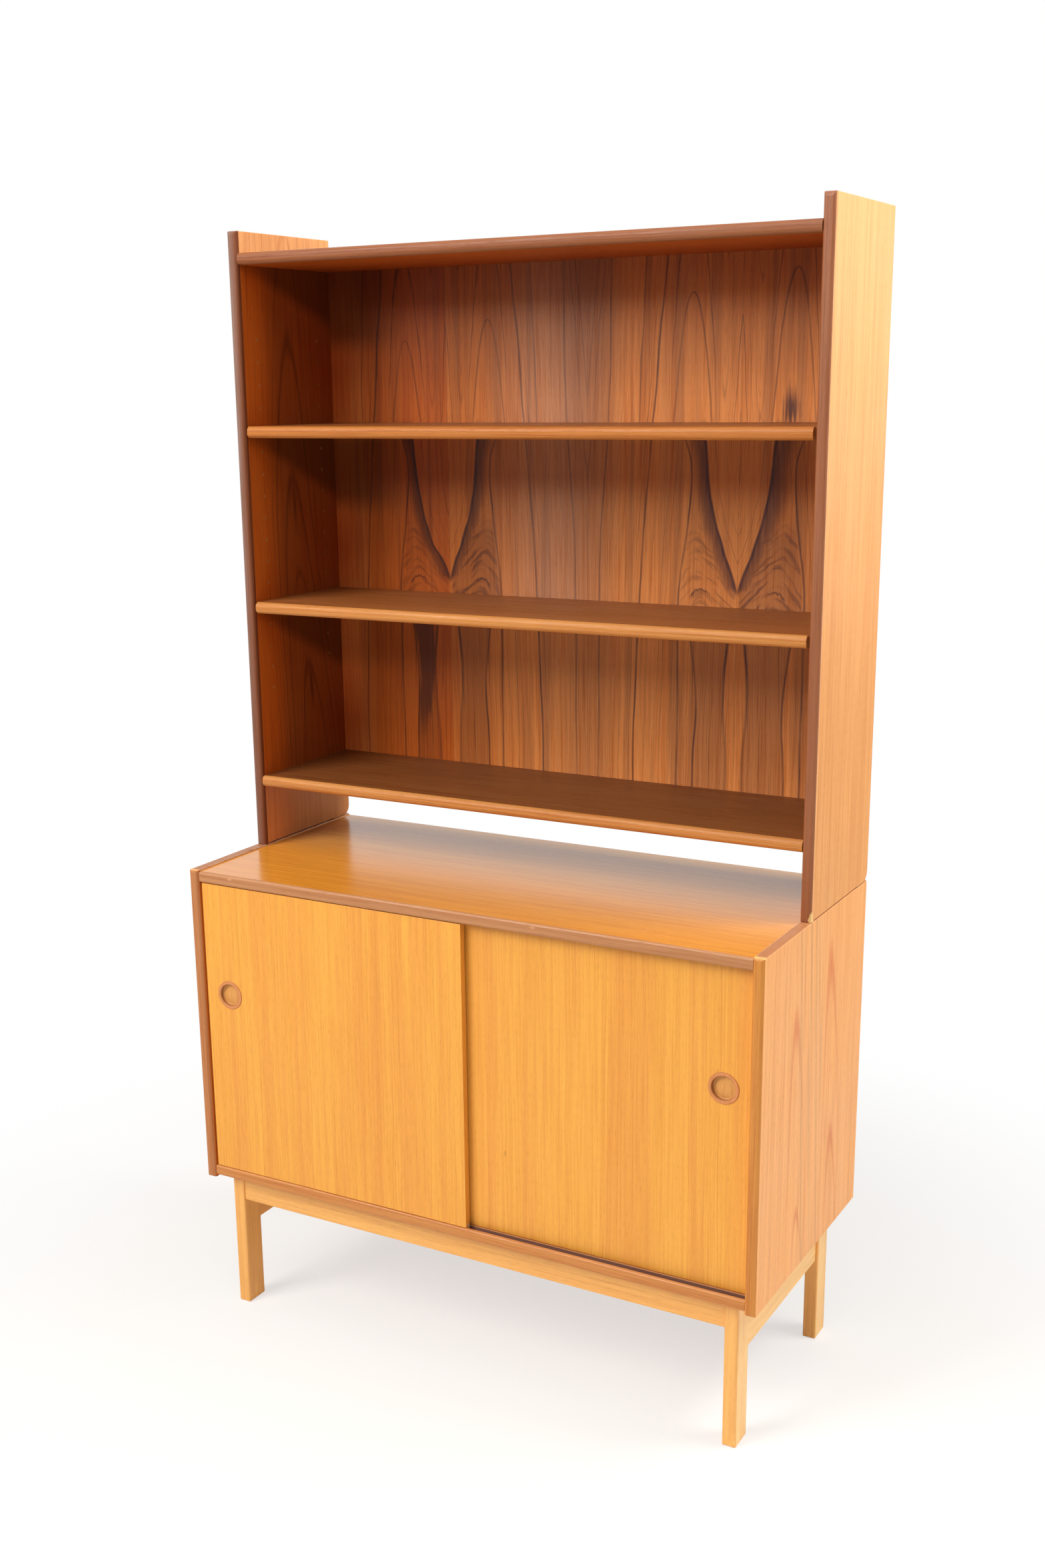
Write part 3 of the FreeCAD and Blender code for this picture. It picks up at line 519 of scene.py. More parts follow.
class HutchBack(BookcaseOperator):
    """Book-matched veneer leaves of the figured back, each folded over at its joint"""
    bl_idname = "bookcase.hutch_back"
    bl_label = "Hutch Back"

    def execute(self, context):
        look = context.scene.bookcase_hutch
        wood = Wood("figured back veneer", "zxy", 23.0)
        x, y, z = wood.at("xyz")
        width = look.leaf_width / MM
        from_axis = x - look.leaf_axis / MM
        leaf = from_axis.fold(width)
        number = (from_axis / width).floor()
        leftmost = 1 - (number + 1).held()
        rightmost = (number - 1).held()
        # Above the upper shelf, below the middle shelf, and between the two
        upper = z.rise(1456, 1496)
        lower = 1 - z.rise(1160, 1205)
        middle = (1 - upper) * (1 - lower)
        brush = wood.noise(leaf / 4, 2.0, z / 80)
        u = leaf + wood.noise(leaf / 38, x / 400, z / 120) * 1.6
        # Courses of the bold lines, from the bottom of the back to its top
        inner = z.course((
            (1180, 0), (1226, 0), (1272, 16), (1317, 33), (1368, 46), (1446, 54), (1500, 57), (1800, 57)))
        inner = inner + leftmost * inner.rise(0, 26) * 12
        outer = z.course(((880, 100), (1210, 100), (1270, 94), (1325, 86), (1430, 82), (1500, 108), (1800, 112)))
        outer = outer + rightmost * 11
        low_line = z.course(((880, 72), (960, 71), (1055, 67), (1140, 76), (1180, 80), (1240, 84))) + rightmost * 13
        near_axis = z.course(((880, 13), (960, 14), (1065, 21), (1140, 15), (1180, 12), (1240, 10))) + leftmost * 13
        third = z.course(((880, 178), (1040, 175), (1317, 162), (1494, 146), (1640, 134), (1740, 123)))
        fourth = z.course(((1400, 172), (1494, 170), (1600, 167), (1720, 160), (1800, 156)))
        fifth = z.course(((880, 242), (1067, 241), (1317, 238), (1493, 224), (1740, 220)))
        # Slender arches at the top, each leaf's a little higher than the last, and hills below the V
        aside = u - 80 - rightmost * 5
        arch_square = aside.squared() + (z - 1480 - number * 30) * 5.4
        arch = arch_square.most(0).root()
        arch_line = ((arch_square - 900) / (aside.squared() * 4 + 29).root()).near(0, 2.2)
        slope = u - 62 - (z - 1215) * 0.13
        hill = z + (slope.squared() * 1.1 + 70).root() + wood.noise(u / 45, number + 4, z / 45, detail=2) * 7
        # Fine lines run along the nearest of these
        past = u - inner
        within = past / (outer - inner)
        v_part = middle * (1 - past.rise(-2, 2))
        hill_part = past.rise(0, 6) * (1 - (u - outer).rise(-6, 0)) * z.rise(1170, 1200) * (1 - z.rise(1300, 1350))
        arch_part = upper * (1 - abs(aside).rise(34, 62))
        field = u - third + 175
        field = field + (arch - field) * arch_part
        field = field + (past + 90 - field) * v_part
        field = field + (hill - field) * hill_part
        field = field + wood.noise(u / 15, 8.0, z / 200) * 1.8
        plain_part = (1 - arch.rise(28, 36) * (1 - aside.near(0, 9))) * arch_part
        plain_part = plain_part.most(hill_part)
        thin = wood.lines(field, 9.0, 1.2, 2.0) * (1 - plain_part)
        hair = wood.lines(field, 3.3, 0.8, 9.0) * (1 - plain_part)
        # Brown shade: beside the V, down the leaf at the left, near the joint, and in broad soft bands
        v_length = z.rise(1216, 1232) * (1 - z.rise(1462, 1494))
        reach = z.course((
            (1200, 14), (1240, 22), (1272, 32), (1317, 48), (1347, 62), (1380, 78), (1430, 92), (1500, 95)))
        depth = (within + brush * 0.16) / (reach * (1 + leftmost * 0.2)) * 100
        beside_v = past.rise(-1.0, 1.5) * (1 - depth.rise(0.3, 1.35)) * v_length * (1 - (u - outer).rise(0, 2))
        band = wood.noise(u / 22, x / 500, z / 700).rise(-0.1, 0.6) * 0.34
        joint = u.rise(180, 245) * (upper * 0.15 + 0.3)
        between_lines = u.between(near_axis, low_line, 2.0) * lower * 0.36
        # The dark streak narrows to its outer edge and ends
        narrowed = z.course(((880, 64), (940, 55), (985, 46), (1010, 38), (1060, 33), (1200, 31)))
        ragged = u + brush * 7
        wide = leftmost * (ragged - narrowed).rise(-5, 8) * (1 - (ragged - low_line).rise(-7, 3))
        wide = wide * lower * (z.rise(915, 1010) * 0.5 + 0.35)
        blotch = wood.noise(hill / 11, number, u / 40)
        hills = wood.lines(hill, 19.0, 10.0, 5.0) * blotch.rise(-0.35, 0.25) * 0.4
        smoke = hills.most(blotch.rise(-0.15, 0.5) * 0.7) * hill_part * (1 - within.rise(0.4, 1.3) * 0.4)
        # The second and the last leaf are browner below the V than the others
        haze = hill_part * (number.near(0, 0.9).most(number.near(2, 0.9)) * 0.32 + 0.12)
        shade = band.most(joint).most(beside_v * (brush * 0.25 + 0.88)).most(between_lines).most(wide)
        shade = shade.most(haze + smoke * 0.62).held()
        painted = wood.blend(shade, look.back_colour, look.back_band_colour)
        painted = wood.blend((thin * 0.6 + hair * 0.35).held(), painted, look.back_line_colour)
        # Bold dark lines
        breath = wood.noise(u / 40, 7.0, z / 110, detail=2) * 0.5 + 0.9
        bold = past.near(2.4, 4.5) * v_length * 0.75
        for line, blur, strength in (
                (outer, 2.8, (1 - upper) * 0.8), (low_line, 3.0, lower * 0.8),
                (near_axis, 4.0, lower * (z.between(1040, 1150, 30) * 0.45 + 0.45)), (third, 2.8, 0.75),
                (fourth, 2.5, upper * 0.65), (fifth, 2.4, 0.7)):
            bold = bold.most((u - line).near(0, blur) * strength)
        bold = bold.most(arch_line * arch_part * 0.6)
        # Hooked marks stand below the V
        hook_u, hook_z = 61, 1212
        hook = ((u - hook_u).squared() * 0.8 + (z - hook_z).squared()).root() + brush * 3
        hook = hook.near(15, 3.0) * (z + (u - 60) * 0.25).rise(1214, 1224)
        bold = bold.most(hook * hill_part * 0.9)
        bold = bold.most(leaf.near(0, 0.8).most(leaf.near(width, 0.8)) * 0.45)
        # The last leaf has a knot
        knot_x, knot_z = 354, 1503
        knot = ((x - knot_x) / 15).distance((z - knot_z) / 30) + brush * 0.7
        bold = (bold * breath).most((1 - knot.rise(0.2, 1.3)) * 0.9).most(wide * 0.28)
        painted = wood.blend(bold.held(), painted, look.back_line_colour)
        # The leftmost leaf is redder than the others; painted light brightens its end by the side, and a painted grey
        # sheen lies over the middle of the back
        for amount, tone, way in (
                (leftmost * x.rise(-462, -400), (0.61, 0.37, 0.15), "MULTIPLY"),
                (x.rise(-252, -250) * (1 - x.rise(-240, -20)), (0.72, 0.58, 0.40), "MULTIPLY"),
                ((1 - x.rise(-475, -400)) * 0.68, (0.92, 0.21, 0.035), "MIX"),
                (x.near(-60, 150) * (1 - lower) * 0.33, (0.30, 0.22, 0.19), "MIX")):
            painted = wood.blend(amount, painted, tone, way)
        # Painted light brightens the back below the middle shelf
        painted = wood.shaded(painted, 1 + lower * 0.14)
        # Painted shadows darken it under the boards, most so at the left end
        painted = wood.blend(z.rise(1620, 1725), painted, (0.62, 0.45, 0.38), "MULTIPLY")
        painted = wood.blend(z.between(1375, 1468, 28), painted, (0.85, 0.72, 0.66), "MULTIPLY")
        under = z.rise(1590, 1635).most(z.between(1345, 1468, 22)).most(z.between(1070, 1186, 22) * 0.45)
        painted = wood.shaded(painted, 1 - under * (1 - x.rise(-450, -300)) * 0.62)
        # The other side has a plain backing veneer
        backing = wood.blend(
            wood.lines(x + wood.sway(9.0), 11.0, 1.2, 4.0) * 0.5, look.side_colour, look.side_line_colour)
        painted = wood.blend((y - middle_of("hutch_back", Y)).rise(-0.1, 0.1), painted, backing)
        assign(wood.finished(painted, thin, figure=1.4, gloss=SHELTERED), "hutch_back")
        return {"FINISHED"}


class HutchBoards(BookcaseOperator):
    """Veneer of the hutch top and the three shelves"""
    bl_idname = "bookcase.hutch_boards"
    bl_label = "Hutch Top and Shelves"

    def execute(self, context):
        look = context.scene.bookcase_hutch
        for number, name in enumerate(("hutch_top", "upper_shelf", "middle_shelf", "lower_shelf")):
            # The lower shelf's veneer is darker, with painted shade
            shade = 0.63 if name == "lower_shelf" else 0.96
            face, line = darker(look.board_colour, shade), darker(look.board_line_colour, shade)
            assign(straight(name.replace("_", " ") + " veneer", "xyz", face, line, 9.0, 31.0 + 7 * number, sway=9.0,
                            figure=1.8, gloss=SHELTERED, marks=self.shaded_underside), name)
        return {"FINISHED"}

    def shaded_underside(self, wood):
        """Painted shade: underneath, the veneer of the hutch top is redder."""
        above = wood.place["z"] - face_of("hutch_top", LOW, Z)
        return ((above.rise(-1.0, -0.2) * (1 - above.rise(0.4, 1.2)), (0.42, 0.088, 0.010)),)


class Lippings(BookcaseOperator):
    """Solid lippings of the sides, rails and shelves"""
    bl_idname = "bookcase.lippings"
    bl_label = "Lippings"

    def execute(self, context):
        look = context.scene.bookcase_lippings
        upright, shelf = look.upright_colour, look.shelf_colour

        def lip(node, name, grain, face, spacing, seed, worn_and_highlit, gloss, marks=None):
            assign(straight(name, grain, face, darker(face), spacing, seed, sway=3.0, strength=0.6, worn_and_highlit=worn_and_highlit,
                            figure=1.2, gloss=gloss, marks=marks), node)

        for part, side, face, seed, worn_and_highlit, gloss in (
                ("hutch", "right", upright, 51.0, 0.4, SATIN), ("hutch", "left", upright, 53.0, 0.4, DULL),
                ("cabinet", "right", look.cabinet_right_colour, 69.0, 0.6, SATIN),
                ("cabinet", "left", look.cabinet_left_colour, 73.0, 0.6, DULL)):
            marks = self.hutch_upright if part == "hutch" else self.cabinet_upright
            lip(f"{part}_side_lipping_{side}", f"{side} {part} lipping", "zxy", face, 4.5, seed, worn_and_highlit, gloss, marks)
        lip("hutch_top_lipping", "hutch top lipping", "xzy", darker(upright, 0.93), 4.5, 55.0, 0.3, SHELTERED)
        lip("cabinet_top_lipping", "cabinet top lipping", "xzy", look.top_colour, 5.0, 57.0, 0.6, SATIN, self.nicks)
        lip("cabinet_bottom_lipping", "rail lipping", "xzy", look.rail_colour, 5.0, 59.0, 0.5, SATIN)
        for part, face, seed in (
                ("upper", look.upper_shelf_colour, 63.0), ("middle", shelf, 68.0), ("lower", shelf, 73.0)):
            lip(f"{part}_shelf_lipping", f"{part} shelf lipping", "xzy", face, 4.5, seed, 0.35, SHELTERED)
        return {"FINISHED"}

    def nicks(self, wood):
        """Pale knocks on the front edge of the cabinet top."""
        x, z = wood.at("xz")
        left, right, height = -419.5, 138.1, 777.5
        ragged = wood.noise(x / 2.5, 3.0, z / 1.5) * 0.5
        far = abs(x - left).least(abs(x - right)) / 6 + abs(z - height) / 3
        tone = paler(bpy.context.scene.bookcase_lippings.top_colour)
        return (((1 - (far + ragged).rise(0.6, 1.1)) * 0.9, tone),)

    def hutch_upright(self, wood):
        """The side's veneer covers the lipping outside, the left one is darker with painted shade and has a painted
        reflection on its outer half, and the right one has a chip at its foot.
        """
        scene = bpy.context.scene
        x, y, z = wood.at("xyz")
        ragged = wood.noise(y / 3, x / 3, z / 4) * 0.25
        away = ((SIDE_OUTER - x) / 6).distance((y + 35) / 8).distance((z - HUTCH_FOOT + 1.5) / 20)
        chip = 1 - (away + ragged).rise(0.8, 0.95)
        # Painted shade darkens the left lipping, and a painted reflection lies on its outer half, stronger higher up
        left = 1 - x.rise(-2, 2)
        painted_light = left * abs(x).rise(480, 499) * (z.rise(950, 1600) * 0.35 + 0.5)
        return ((left, (0.19, 0.057, 0.022)), (painted_light, scene.bookcase_lippings.reflection_colour),
                (abs(x).rise(SIDE_OUTER - 0.8, SIDE_OUTER - 0.3), scene.bookcase_hutch.side_colour),
                (chip, scene.bookcase_fittings.dowel_colour))

    def cabinet_upright(self, wood):
        """The side's veneer covers the lipping outside, its inner face is redder with painted shade, and its top end
        has a painted highlight.
        """
        veneer = bpy.context.scene.bookcase_cabinet.side_colour
        x, z = abs(wood.place["x"]), wood.place["z"]
        return ((x.rise(SIDE_OUTER - 0.8, SIDE_OUTER - 0.3), veneer),
                (1 - x.rise(SIDE_INNER + 0.1, SIDE_INNER + 0.7), bpy.context.scene.bookcase_lippings.recess_shade_colour),
                (z.rise(CABINET_HEIGHT - 1.9, CABINET_HEIGHT - 0.5) * 0.7, paler(veneer)))


class CabinetSides(BookcaseOperator):
    """Veneer of the cabinet sides, with long flames between grey-brown streaks"""
    bl_idname = "bookcase.cabinet_sides"
    bl_label = "Cabinet Sides"

    def execute(self, context):
        look = context.scene.bookcase_cabinet
        wood = Wood("cabinet side veneer", "zyx", 71.0)
        y, z = wood.at("yz")
        # The whole figure leans a little
        v = y + (z - 500) * 0.08 + wood.sway(8.0)
        near_flame = ((v + 70).squared() + (z - 200) * 5).most(0).root()
        far_flame = ((v - 75).squared() + (z - 60) * 5 + 300).most(0).root()
        near_part, far_part = v.near(-70, 62), v.near(75, 62)
        field = v + (near_flame - v) * near_part
        field = field + (far_flame - field) * far_part
        line = wood.lines(field, 7.0, 1.0, 1.0)
        bold = (near_flame.near(47, 2.6) * near_part).most(near_flame.near(26, 2.0) * near_part)
        bold = bold.most(far_flame.near(45, 2.2) * far_part).most(far_flame.near(59, 2.6) * far_part)
        drawn = (line * 0.45).most(bold * 0.9).held()
        face = darker(look.side_colour, 0.96)
        painted = wood.blend(drawn, face, look.side_line_colour)
        streak = v.near(-50, 6.5) * 0.75
        streak = streak.most(v.near(-9, 6.0) * (z.rise(540, 700) * 0.8 + 0.2)).most(v.near(13, 6.0) * 0.6)
        quick = wood.noise(v / 11, 6.0, z / 420, detail=2).rise(-0.1, 0.5) * v.between(-76, 34, 16)
        quick = quick * (z.rise(300, 700) * 0.35 + 0.35)
        painted = wood.blend(streak.most(quick), painted, look.side_streak_colour)
        # The top edges are brown, with a pale line beside the top that is dust and a painted highlight
        upper_edge = z.rise(CABINET_HEIGHT - 1.2, CABINET_HEIGHT - 0.3)
        painted = wood.blend(upper_edge * 0.8, painted, look.edge_colour)
        dust_and_highlight = abs(wood.place["x"]).near(SIDE_INNER + 1, 1.6) * wood.noise(y / 30, 5.0, 2.0, detail=2).rise(-0.5, 0.2)
        painted = wood.blend(dust_and_highlight * upper_edge * 0.7, painted, (0.72, 0.62, 0.46))
        # Rubbed corners are painted paler, for wear and a painted highlight
        assign(wood.finished(painted, line, wood.worn_and_highlit() * 0.6, paler(look.side_colour), 0.8, SATIN),
               "cabinet_side_right", "cabinet_side_left")
        return {"FINISHED"}


class CabinetTop(BookcaseOperator):
    """Orange veneer of the cabinet top, with a few pale scratches"""
    bl_idname = "bookcase.cabinet_top"
    bl_label = "Cabinet Top"

    def execute(self, context):
        look = context.scene.bookcase_cabinet

        def scratches_and_light(wood):
            """Besides the scratches, painted light makes the veneer paler towards the rear."""
            x, y = wood.at("xy")
            scratched = wood.noise(x / 6, y / 2.2, 3.0).rise(0.28, 0.42)
            return ((y.rise(-60, 160) * 0.7, (1.0, 0.56, 0.18)),
                    (scratched * x.between(270, 345, 4) * y.between(-182, -157, 3) * 0.6, paler(look.top_colour)))

        assign(straight("cabinet top veneer", "xyz", look.top_colour, look.top_line_colour, 10.0, 83.0, sway=8.0,
                        strength=0.6, figure=0.9, gloss=RUBBED, marks=scratches_and_light), "cabinet_top")
        return {"FINISHED"}


class CabinetInside(BookcaseOperator):
    """Plain veneer of the boards inside the cabinet"""
    bl_idname = "bookcase.cabinet_inside"
    bl_label = "Cabinet Inside"

    def execute(self, context):
        look = context.scene.bookcase_cabinet
        face, line = look.inside_colour, look.inside_line_colour

        def shaded_grooves(wood):
            """Dark bare wood with painted shade in the grooves that the doors run in."""
            y, z = wood.at("yz")
            front, rear = (-210.9, -200.1), (-195.9, -185.1)
            bare = y.between(*front, 0.2).most(y.between(*rear, 0.2))
            return ((bare * z.between(248, 262, 1) * 0.85, (0.15, 0.08, 0.075)),)

        assign(straight("cabinet board veneer", "xyz", face, line, 9.0, 91.0, gloss=SATIN, marks=shaded_grooves),
               "cabinet_bottom", "inner_shelf_right", "inner_shelf_left", "inner_shelf_lipping_right",
               "inner_shelf_lipping_left")
        assign(straight("cabinet back veneer", "zxy", face, line, 12.0, 97.0, sway=9.0, gloss=SHELTERED),
               "cabinet_back")
        assign(straight("partition veneer", "zyx", face, line, 9.0, 101.0, gloss=SATIN), "partition",
               "partition_lipping")
        return {"FINISHED"}


class Doors(BookcaseOperator):
    """Straight-grained veneer of the sliding doors"""
    bl_idname = "bookcase.doors"
    bl_label = "Sliding Doors"

    def execute(self, context):
        look = context.scene.bookcase_doors
        wood = Wood("door veneer", "zxy", 107.0)
        x, z = wood.at("xz")
        field = wood.across + wood.sway(6.0) + wood.noise(wood.across / 60, 2.0, z / 240, detail=1) * 1.5
        line = wood.lines(field, look.line_spacing, 0.9, 1.0)
        fine = wood.lines(field + 2.0, look.line_spacing * 0.4, 0.5, 2.0)
        broad = wood.noise(wood.across / 34, 4.0, z / 1200, detail=2).rise(-0.25, 0.45)
        face = wood.blend(broad * 0.5, look.face_colour, look.band_colour)
        drawn = (line * 0.8 + fine * 0.42).held()
        painted = wood.blend(drawn, face, look.line_colour)
        # The right door has a small dark fleck
        fleck_x, fleck_z = 77.8, 399
        ragged = wood.noise(x / 2, 1.0, z / 5, detail=2) * 0.4
        fleck = 1 - (abs(x - fleck_x) / 2.2 + abs(z - fleck_z) / 7 + ragged).rise(0.5, 1.2)
        painted = wood.blend(fleck * 0.5, painted, darker(look.line_colour, 0.5))
        assign(wood.finished(painted, line, figure=0.5, gloss=SATIN), "door_left", "door_right")
        return {"FINISHED"}


class FingerPulls(BookcaseOperator):
    """Solid turned finger pulls, with a rounded rim and a dished floor"""
    bl_idname = "bookcase.finger_pulls"
    bl_label = "Finger Pulls"

    def execute(self, context):
        look = context.scene.bookcase_doors
        wood = Wood("turned teak", "zxy", 113.0)
        x, z = wood.at("xz")
        line = wood.lines(wood.across + wood.sway(3.0), 3.2, 0.6)
        aside = abs(x - middle_of("finger_pull_left", X)).least(abs(x - middle_of("finger_pull_right", X)))
        out = aside.distance(z - middle_of("finger_pull_left", Z))
        face = wood.blend(out.rise(17.5, 20.5), look.dish_colour, look.pull_colour)
        painted = wood.blend(line * 0.25, face, darker(look.pull_colour, 0.6))
        # Painted shade darkens the corner inside the rim, and a dark ring runs round the outside of it
        painted = wood.blend(out.near(18.4, 1.7).most(out.rise(23.2, 24.0)) * 0.6, painted,
                             darker(look.pull_colour, 0.4))
        # Rubbed corners are painted paler, for wear and a painted highlight
        worn_and_highlit = wood.noise(x / 4, 2.0, z / 4, detail=2).rise(-0.1, 0.6) * wood.edge(1.4 * MM) * 0.7
        assign(wood.finished(painted, line, worn_and_highlit, paler(look.pull_colour), 0.6, SATIN), "finger_pull_left",
               "finger_pull_right")
        return {"FINISHED"}


class LegFrame(BookcaseOperator):
    """Blond legs, aprons and corner blocks"""
    bl_idname = "bookcase.leg_frame"
    bl_label = "Leg Frame"

    def execute(self, context):
        look = context.scene.bookcase_legs
        face, line = look.wood_colour, look.line_colour

        def painted_light(wood, node):
            """Painted light: the face at the unit's end is paler than the others."""
            return (abs(wood.place["x"]) - face_of(node, HIGH, X)).rise(-0.5, -0.1) * 0.6, look.lit_end_colour

        def leg_marks(wood):
            """Besides that, pale scuffs round the feet."""
            x, y, z = wood.at("xyz")
            scuffed = wood.noise(x / 5, y / 5, z / 9).rise(0.12, 0.4)
            return painted_light(wood, "leg_front_right"), (scuffed * (1 - z.rise(4, 32)) * 0.45, paler(face))

        def apron_marks(wood):
            return (painted_light(wood, "apron_right"),)

        # Name, grain, line spacing, seed, sway, how far its corners are rubbed and given a painted highlight, marks
        # and nodes
        rows = (
            ("blond leg wood", "zxy", 3.5, 127.0, 3.0, 0.4, leg_marks,
             ("leg_front_right", "leg_front_left", "leg_rear_right", "leg_rear_left", "corner_blocks")),
            ("blond cross apron wood", "xzy", 4.0, 131.0, 4.0, 0.3, None, ("apron_front", "apron_rear")),
            ("blond side apron wood", "yzx", 4.0, 137.0, 4.0, 0.3, apron_marks, ("apron_right", "apron_left")),
        )
        for name, grain, spacing, seed, sway, worn_and_highlit, marks, nodes in rows:
            assign(straight(name, grain, face, line, spacing, seed, sway, strength=0.5, worn_and_highlit=worn_and_highlit, figure=0.7,
                            gloss=SMOOTH, marks=marks), *nodes)
        return {"FINISHED"}


class Fittings(BookcaseOperator):
    """Dowels, steel wires, nails and screws, and the doors' plastic glides"""
    bl_idname = "bookcase.fittings"
    bl_label = "Fittings"

    def execute(self, context):
        look = context.scene.bookcase_fittings
        dowel = look.dowel_colour
        assign(straight("dowel wood", "xyz", dowel, darker(dowel), 1.4, 149.0, 1.0), "hutch_dowels", "cabinet_dowels",
               "frame_dowels")
        assign(straight("upright dowel wood", "zxy", dowel, darker(dowel), 1.4, 151.0, 1.0), "locating_dowels")
        steel = Finish("drawn steel")
        x, y, z = steel.at("xyz")
        marks = steel.noise(x / 0.4, y / 0.4, z / 0.4)
        dull = steel.noise(x / 6, y / 6, z / 6, detail=2).rise(-0.3, 0.5)
        tone = steel.blend(dull, look.steel_colour, darker(look.steel_colour))
        assign(steel.close(tone, dull * 0.15 + marks * 0.06 + 0.3, marks, SCRATCH_DEPTH, gloss={"Metallic": 1.0}),
               "upper_shelf_wires", "middle_shelf_wires", "inner_shelf_wires_right", "inner_shelf_wires_left",
               "hutch_back_nails", "cabinet_back_nails", "frame_screws")
        plastic = Finish("glide plastic")
        x, y, z = plastic.at("xyz")
        scuff = plastic.noise(x / 3, y / 0.5, z / 0.5).rise(-0.2, 0.6)
        tone = plastic.blend(scuff, look.glide_colour, darker(look.glide_colour, 0.8))
        assign(plastic.close(tone, scuff * 0.2 + 0.45, scuff, SCUFF_DEPTH, 0.4 * MM), "door_glides_left",
               "door_glides_right")
        return {"FINISHED"}


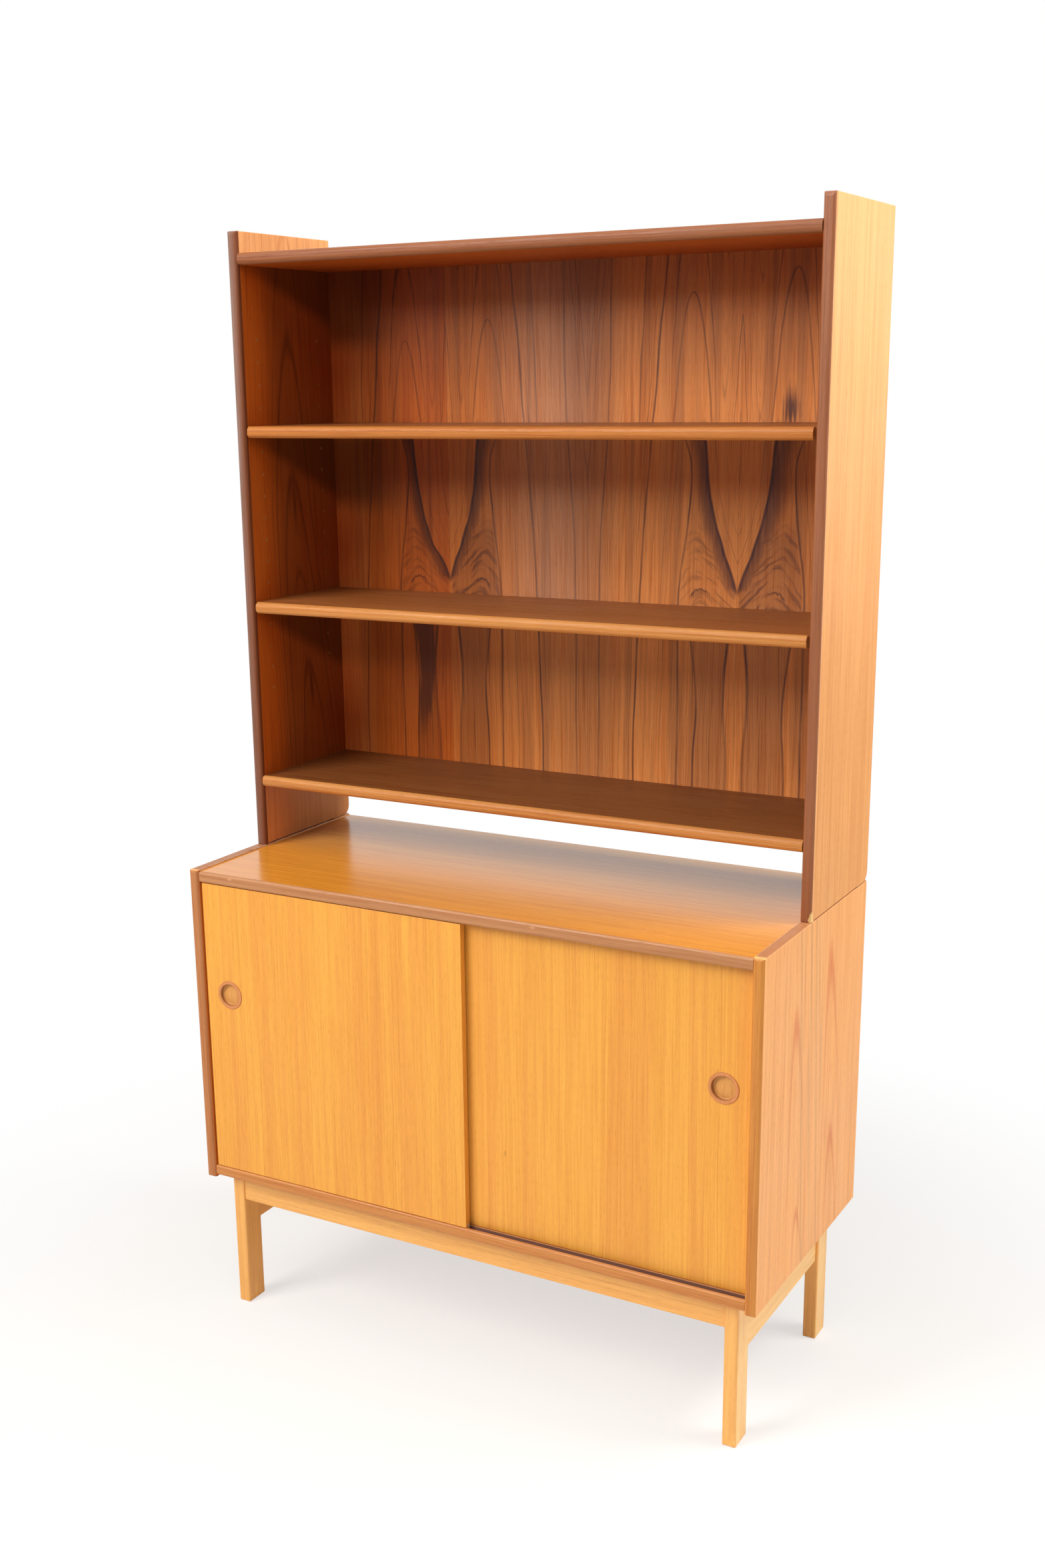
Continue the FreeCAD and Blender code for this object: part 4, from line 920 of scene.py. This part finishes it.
class Studio(BookcaseOperator):
    """Camera of the photograph, pale floor, white surroundings and large soft lamps"""
    bl_idname = "bookcase.studio"
    bl_label = "Studio"

    def execute(self, context):
        look = context.scene.bookcase_studio
        self.add_camera(context, look)
        self.add_floor(look)
        self.add_surroundings(context, look)
        self.add_lamp("front lamp", (-1.8, -3.2, 3.4), (0, 0, 0.9), 2.0, look.front_power)
        self.add_lamp("top lamp", (0.3, -1.2, 3.8), (0, 0, 0.8), 2.5, look.top_power)
        self.add_lamp("right lamp", (1.9, 0.5, 2.8), (0.5, 0.1, 1.6), 1.2, look.right_power)
        self.add_lamp("side lamp", (4.0, 1.5, 0.9), (0.5, 0.0, 0.5), 2.2, look.side_power)
        context.scene.view_settings.view_transform = "Standard"
        return {"FINISHED"}

    def add_camera(self, context, look):
        ahead = Vector((-sin(look.turn) * cos(look.tilt), cos(look.turn) * cos(look.tilt), -sin(look.tilt)))
        level = ahead.cross(Vector((0, 0, 1))).normalized()
        above = level.cross(ahead)
        right = cos(look.roll) * level + sin(look.roll) * above
        up = cos(look.roll) * above - sin(look.roll) * level
        data = bpy.data.cameras.new("photo camera")
        data.sensor_width = 36
        data.lens = look.focal_length
        data.shift_x = (PHOTO_WIDTH / 2 - look.middle_x) / PHOTO_HEIGHT
        data.shift_y = (look.middle_y - PHOTO_HEIGHT / 2) / PHOTO_HEIGHT
        camera = bpy.data.objects.new("photo camera", data)
        turned = Matrix((right, up, -ahead)).transposed().to_4x4()
        camera.matrix_world = Matrix.Translation(look.camera_place) @ turned
        context.scene.collection.objects.link(camera)
        context.scene.camera = camera

    def add_floor(self, look):
        mesh = bpy.data.meshes.new("floor")
        reach = 9.0
        level = BOX[0][2]
        corners = [(-reach, -reach, level), (reach, -reach, level), (reach, reach, level), (-reach, reach, level)]
        mesh.from_pydata(corners, [], [(0, 1, 2, 3)])
        floor = bpy.data.objects.new("floor", mesh)
        bpy.context.scene.collection.objects.link(floor)
        paint = Finish("pale floor")
        x, y = paint.at("xy")
        away = x.distance(y).rise(600, 1500)
        tone = paint.noise(x / 400, y / 400, 0.0) * 0.01 + 1.0
        matte = paint.node(
            "ShaderNodeBsdfPrincipled", {},
            {"Base Color": paint.shaded(look.floor_colour, tone), "Roughness": 0.9, "Specular IOR Level": 0.1})
        white = paint.node("ShaderNodeEmission", {}, {"Color": (1, 1, 1, 1), "Strength": 1.0})
        seen = paint.node("ShaderNodeLightPath", output="Is Camera Ray")
        glow = away * (1 - look.floor_glow) + look.floor_glow
        surface = paint.node("ShaderNodeMixShader", {}, (glow * seen, matte, white))
        paint.node("ShaderNodeOutputMaterial", {}, {"Surface": surface})
        mesh.materials.append(paint.material)

    def add_surroundings(self, context, look):
        world = bpy.data.worlds.new("white surroundings")
        world.use_nodes = True
        context.scene.world = world
        sky = Nodes(world.node_tree)
        seen = sky.node("ShaderNodeLightPath", output="Is Camera Ray")
        for name in ("Is Glossy Ray", "Is Transmission Ray"):
            seen = seen.most(sky.node("ShaderNodeLightPath", output=name))
        strength = seen * (1 - look.sky_strength) + look.sky_strength
        background = sky.node("ShaderNodeBackground", {}, {"Color": (1, 1, 1, 1), "Strength": strength})
        sky.node("ShaderNodeOutputWorld", {}, {"Surface": background})

    def add_lamp(self, name, place, target, size, power):
        data = bpy.data.lights.new(name, "AREA")
        data.shape = "SQUARE"
        data.size = size
        data.energy = power
        lamp = bpy.data.objects.new(name, data)
        lamp.location = place
        lamp.rotation_euler = (Vector(target) - Vector(place)).to_track_quat("-Z", "Y").to_euler()
        bpy.context.scene.collection.objects.link(lamp)


PIECES = (HutchSides, HutchBack, HutchBoards, Lippings, CabinetSides, CabinetTop, CabinetInside, Doors, FingerPulls,
          LegFrame, Fittings, Studio)
LOOKS = {"surface": SurfaceLook, "hutch": HutchLook, "lippings": LippingLook, "cabinet": CabinetLook,
         "doors": DoorLook, "legs": LegFrameLook, "fittings": FittingLook, "studio": StudioLook}


class BookcasePanel(bpy.types.Panel):
    """Lists the bookcase's pieces and its studio"""
    bl_idname = "BOOKCASE_PT_pieces"
    bl_label = "Bookcase"
    bl_space_type = "VIEW_3D"
    bl_region_type = "UI"
    bl_category = "Bookcase"

    def draw(self, context):
        for piece in PIECES:
            self.layout.operator(piece.bl_idname)


def register():
    for name, look in LOOKS.items():
        bpy.utils.register_class(look)
        setattr(bpy.types.Scene, "bookcase_" + name, bpy.props.PointerProperty(type=look))
    for piece in (*PIECES, BookcasePanel):
        bpy.utils.register_class(piece)


def unregister():
    for piece in (BookcasePanel, *reversed(PIECES)):
        bpy.utils.unregister_class(piece)
    for name, look in reversed(list(LOOKS.items())):
        delattr(bpy.types.Scene, "bookcase_" + name)
        bpy.utils.unregister_class(look)


def main():
    register()
    bpy.ops.bookcase.hutch_sides()
    bpy.ops.bookcase.hutch_back()
    bpy.ops.bookcase.hutch_boards()
    bpy.ops.bookcase.lippings()
    bpy.ops.bookcase.cabinet_sides()
    bpy.ops.bookcase.cabinet_top()
    bpy.ops.bookcase.cabinet_inside()
    bpy.ops.bookcase.doors()
    bpy.ops.bookcase.finger_pulls()
    bpy.ops.bookcase.leg_frame()
    bpy.ops.bookcase.fittings()
    bpy.ops.bookcase.studio()


if __name__ == "__main__":
    main()
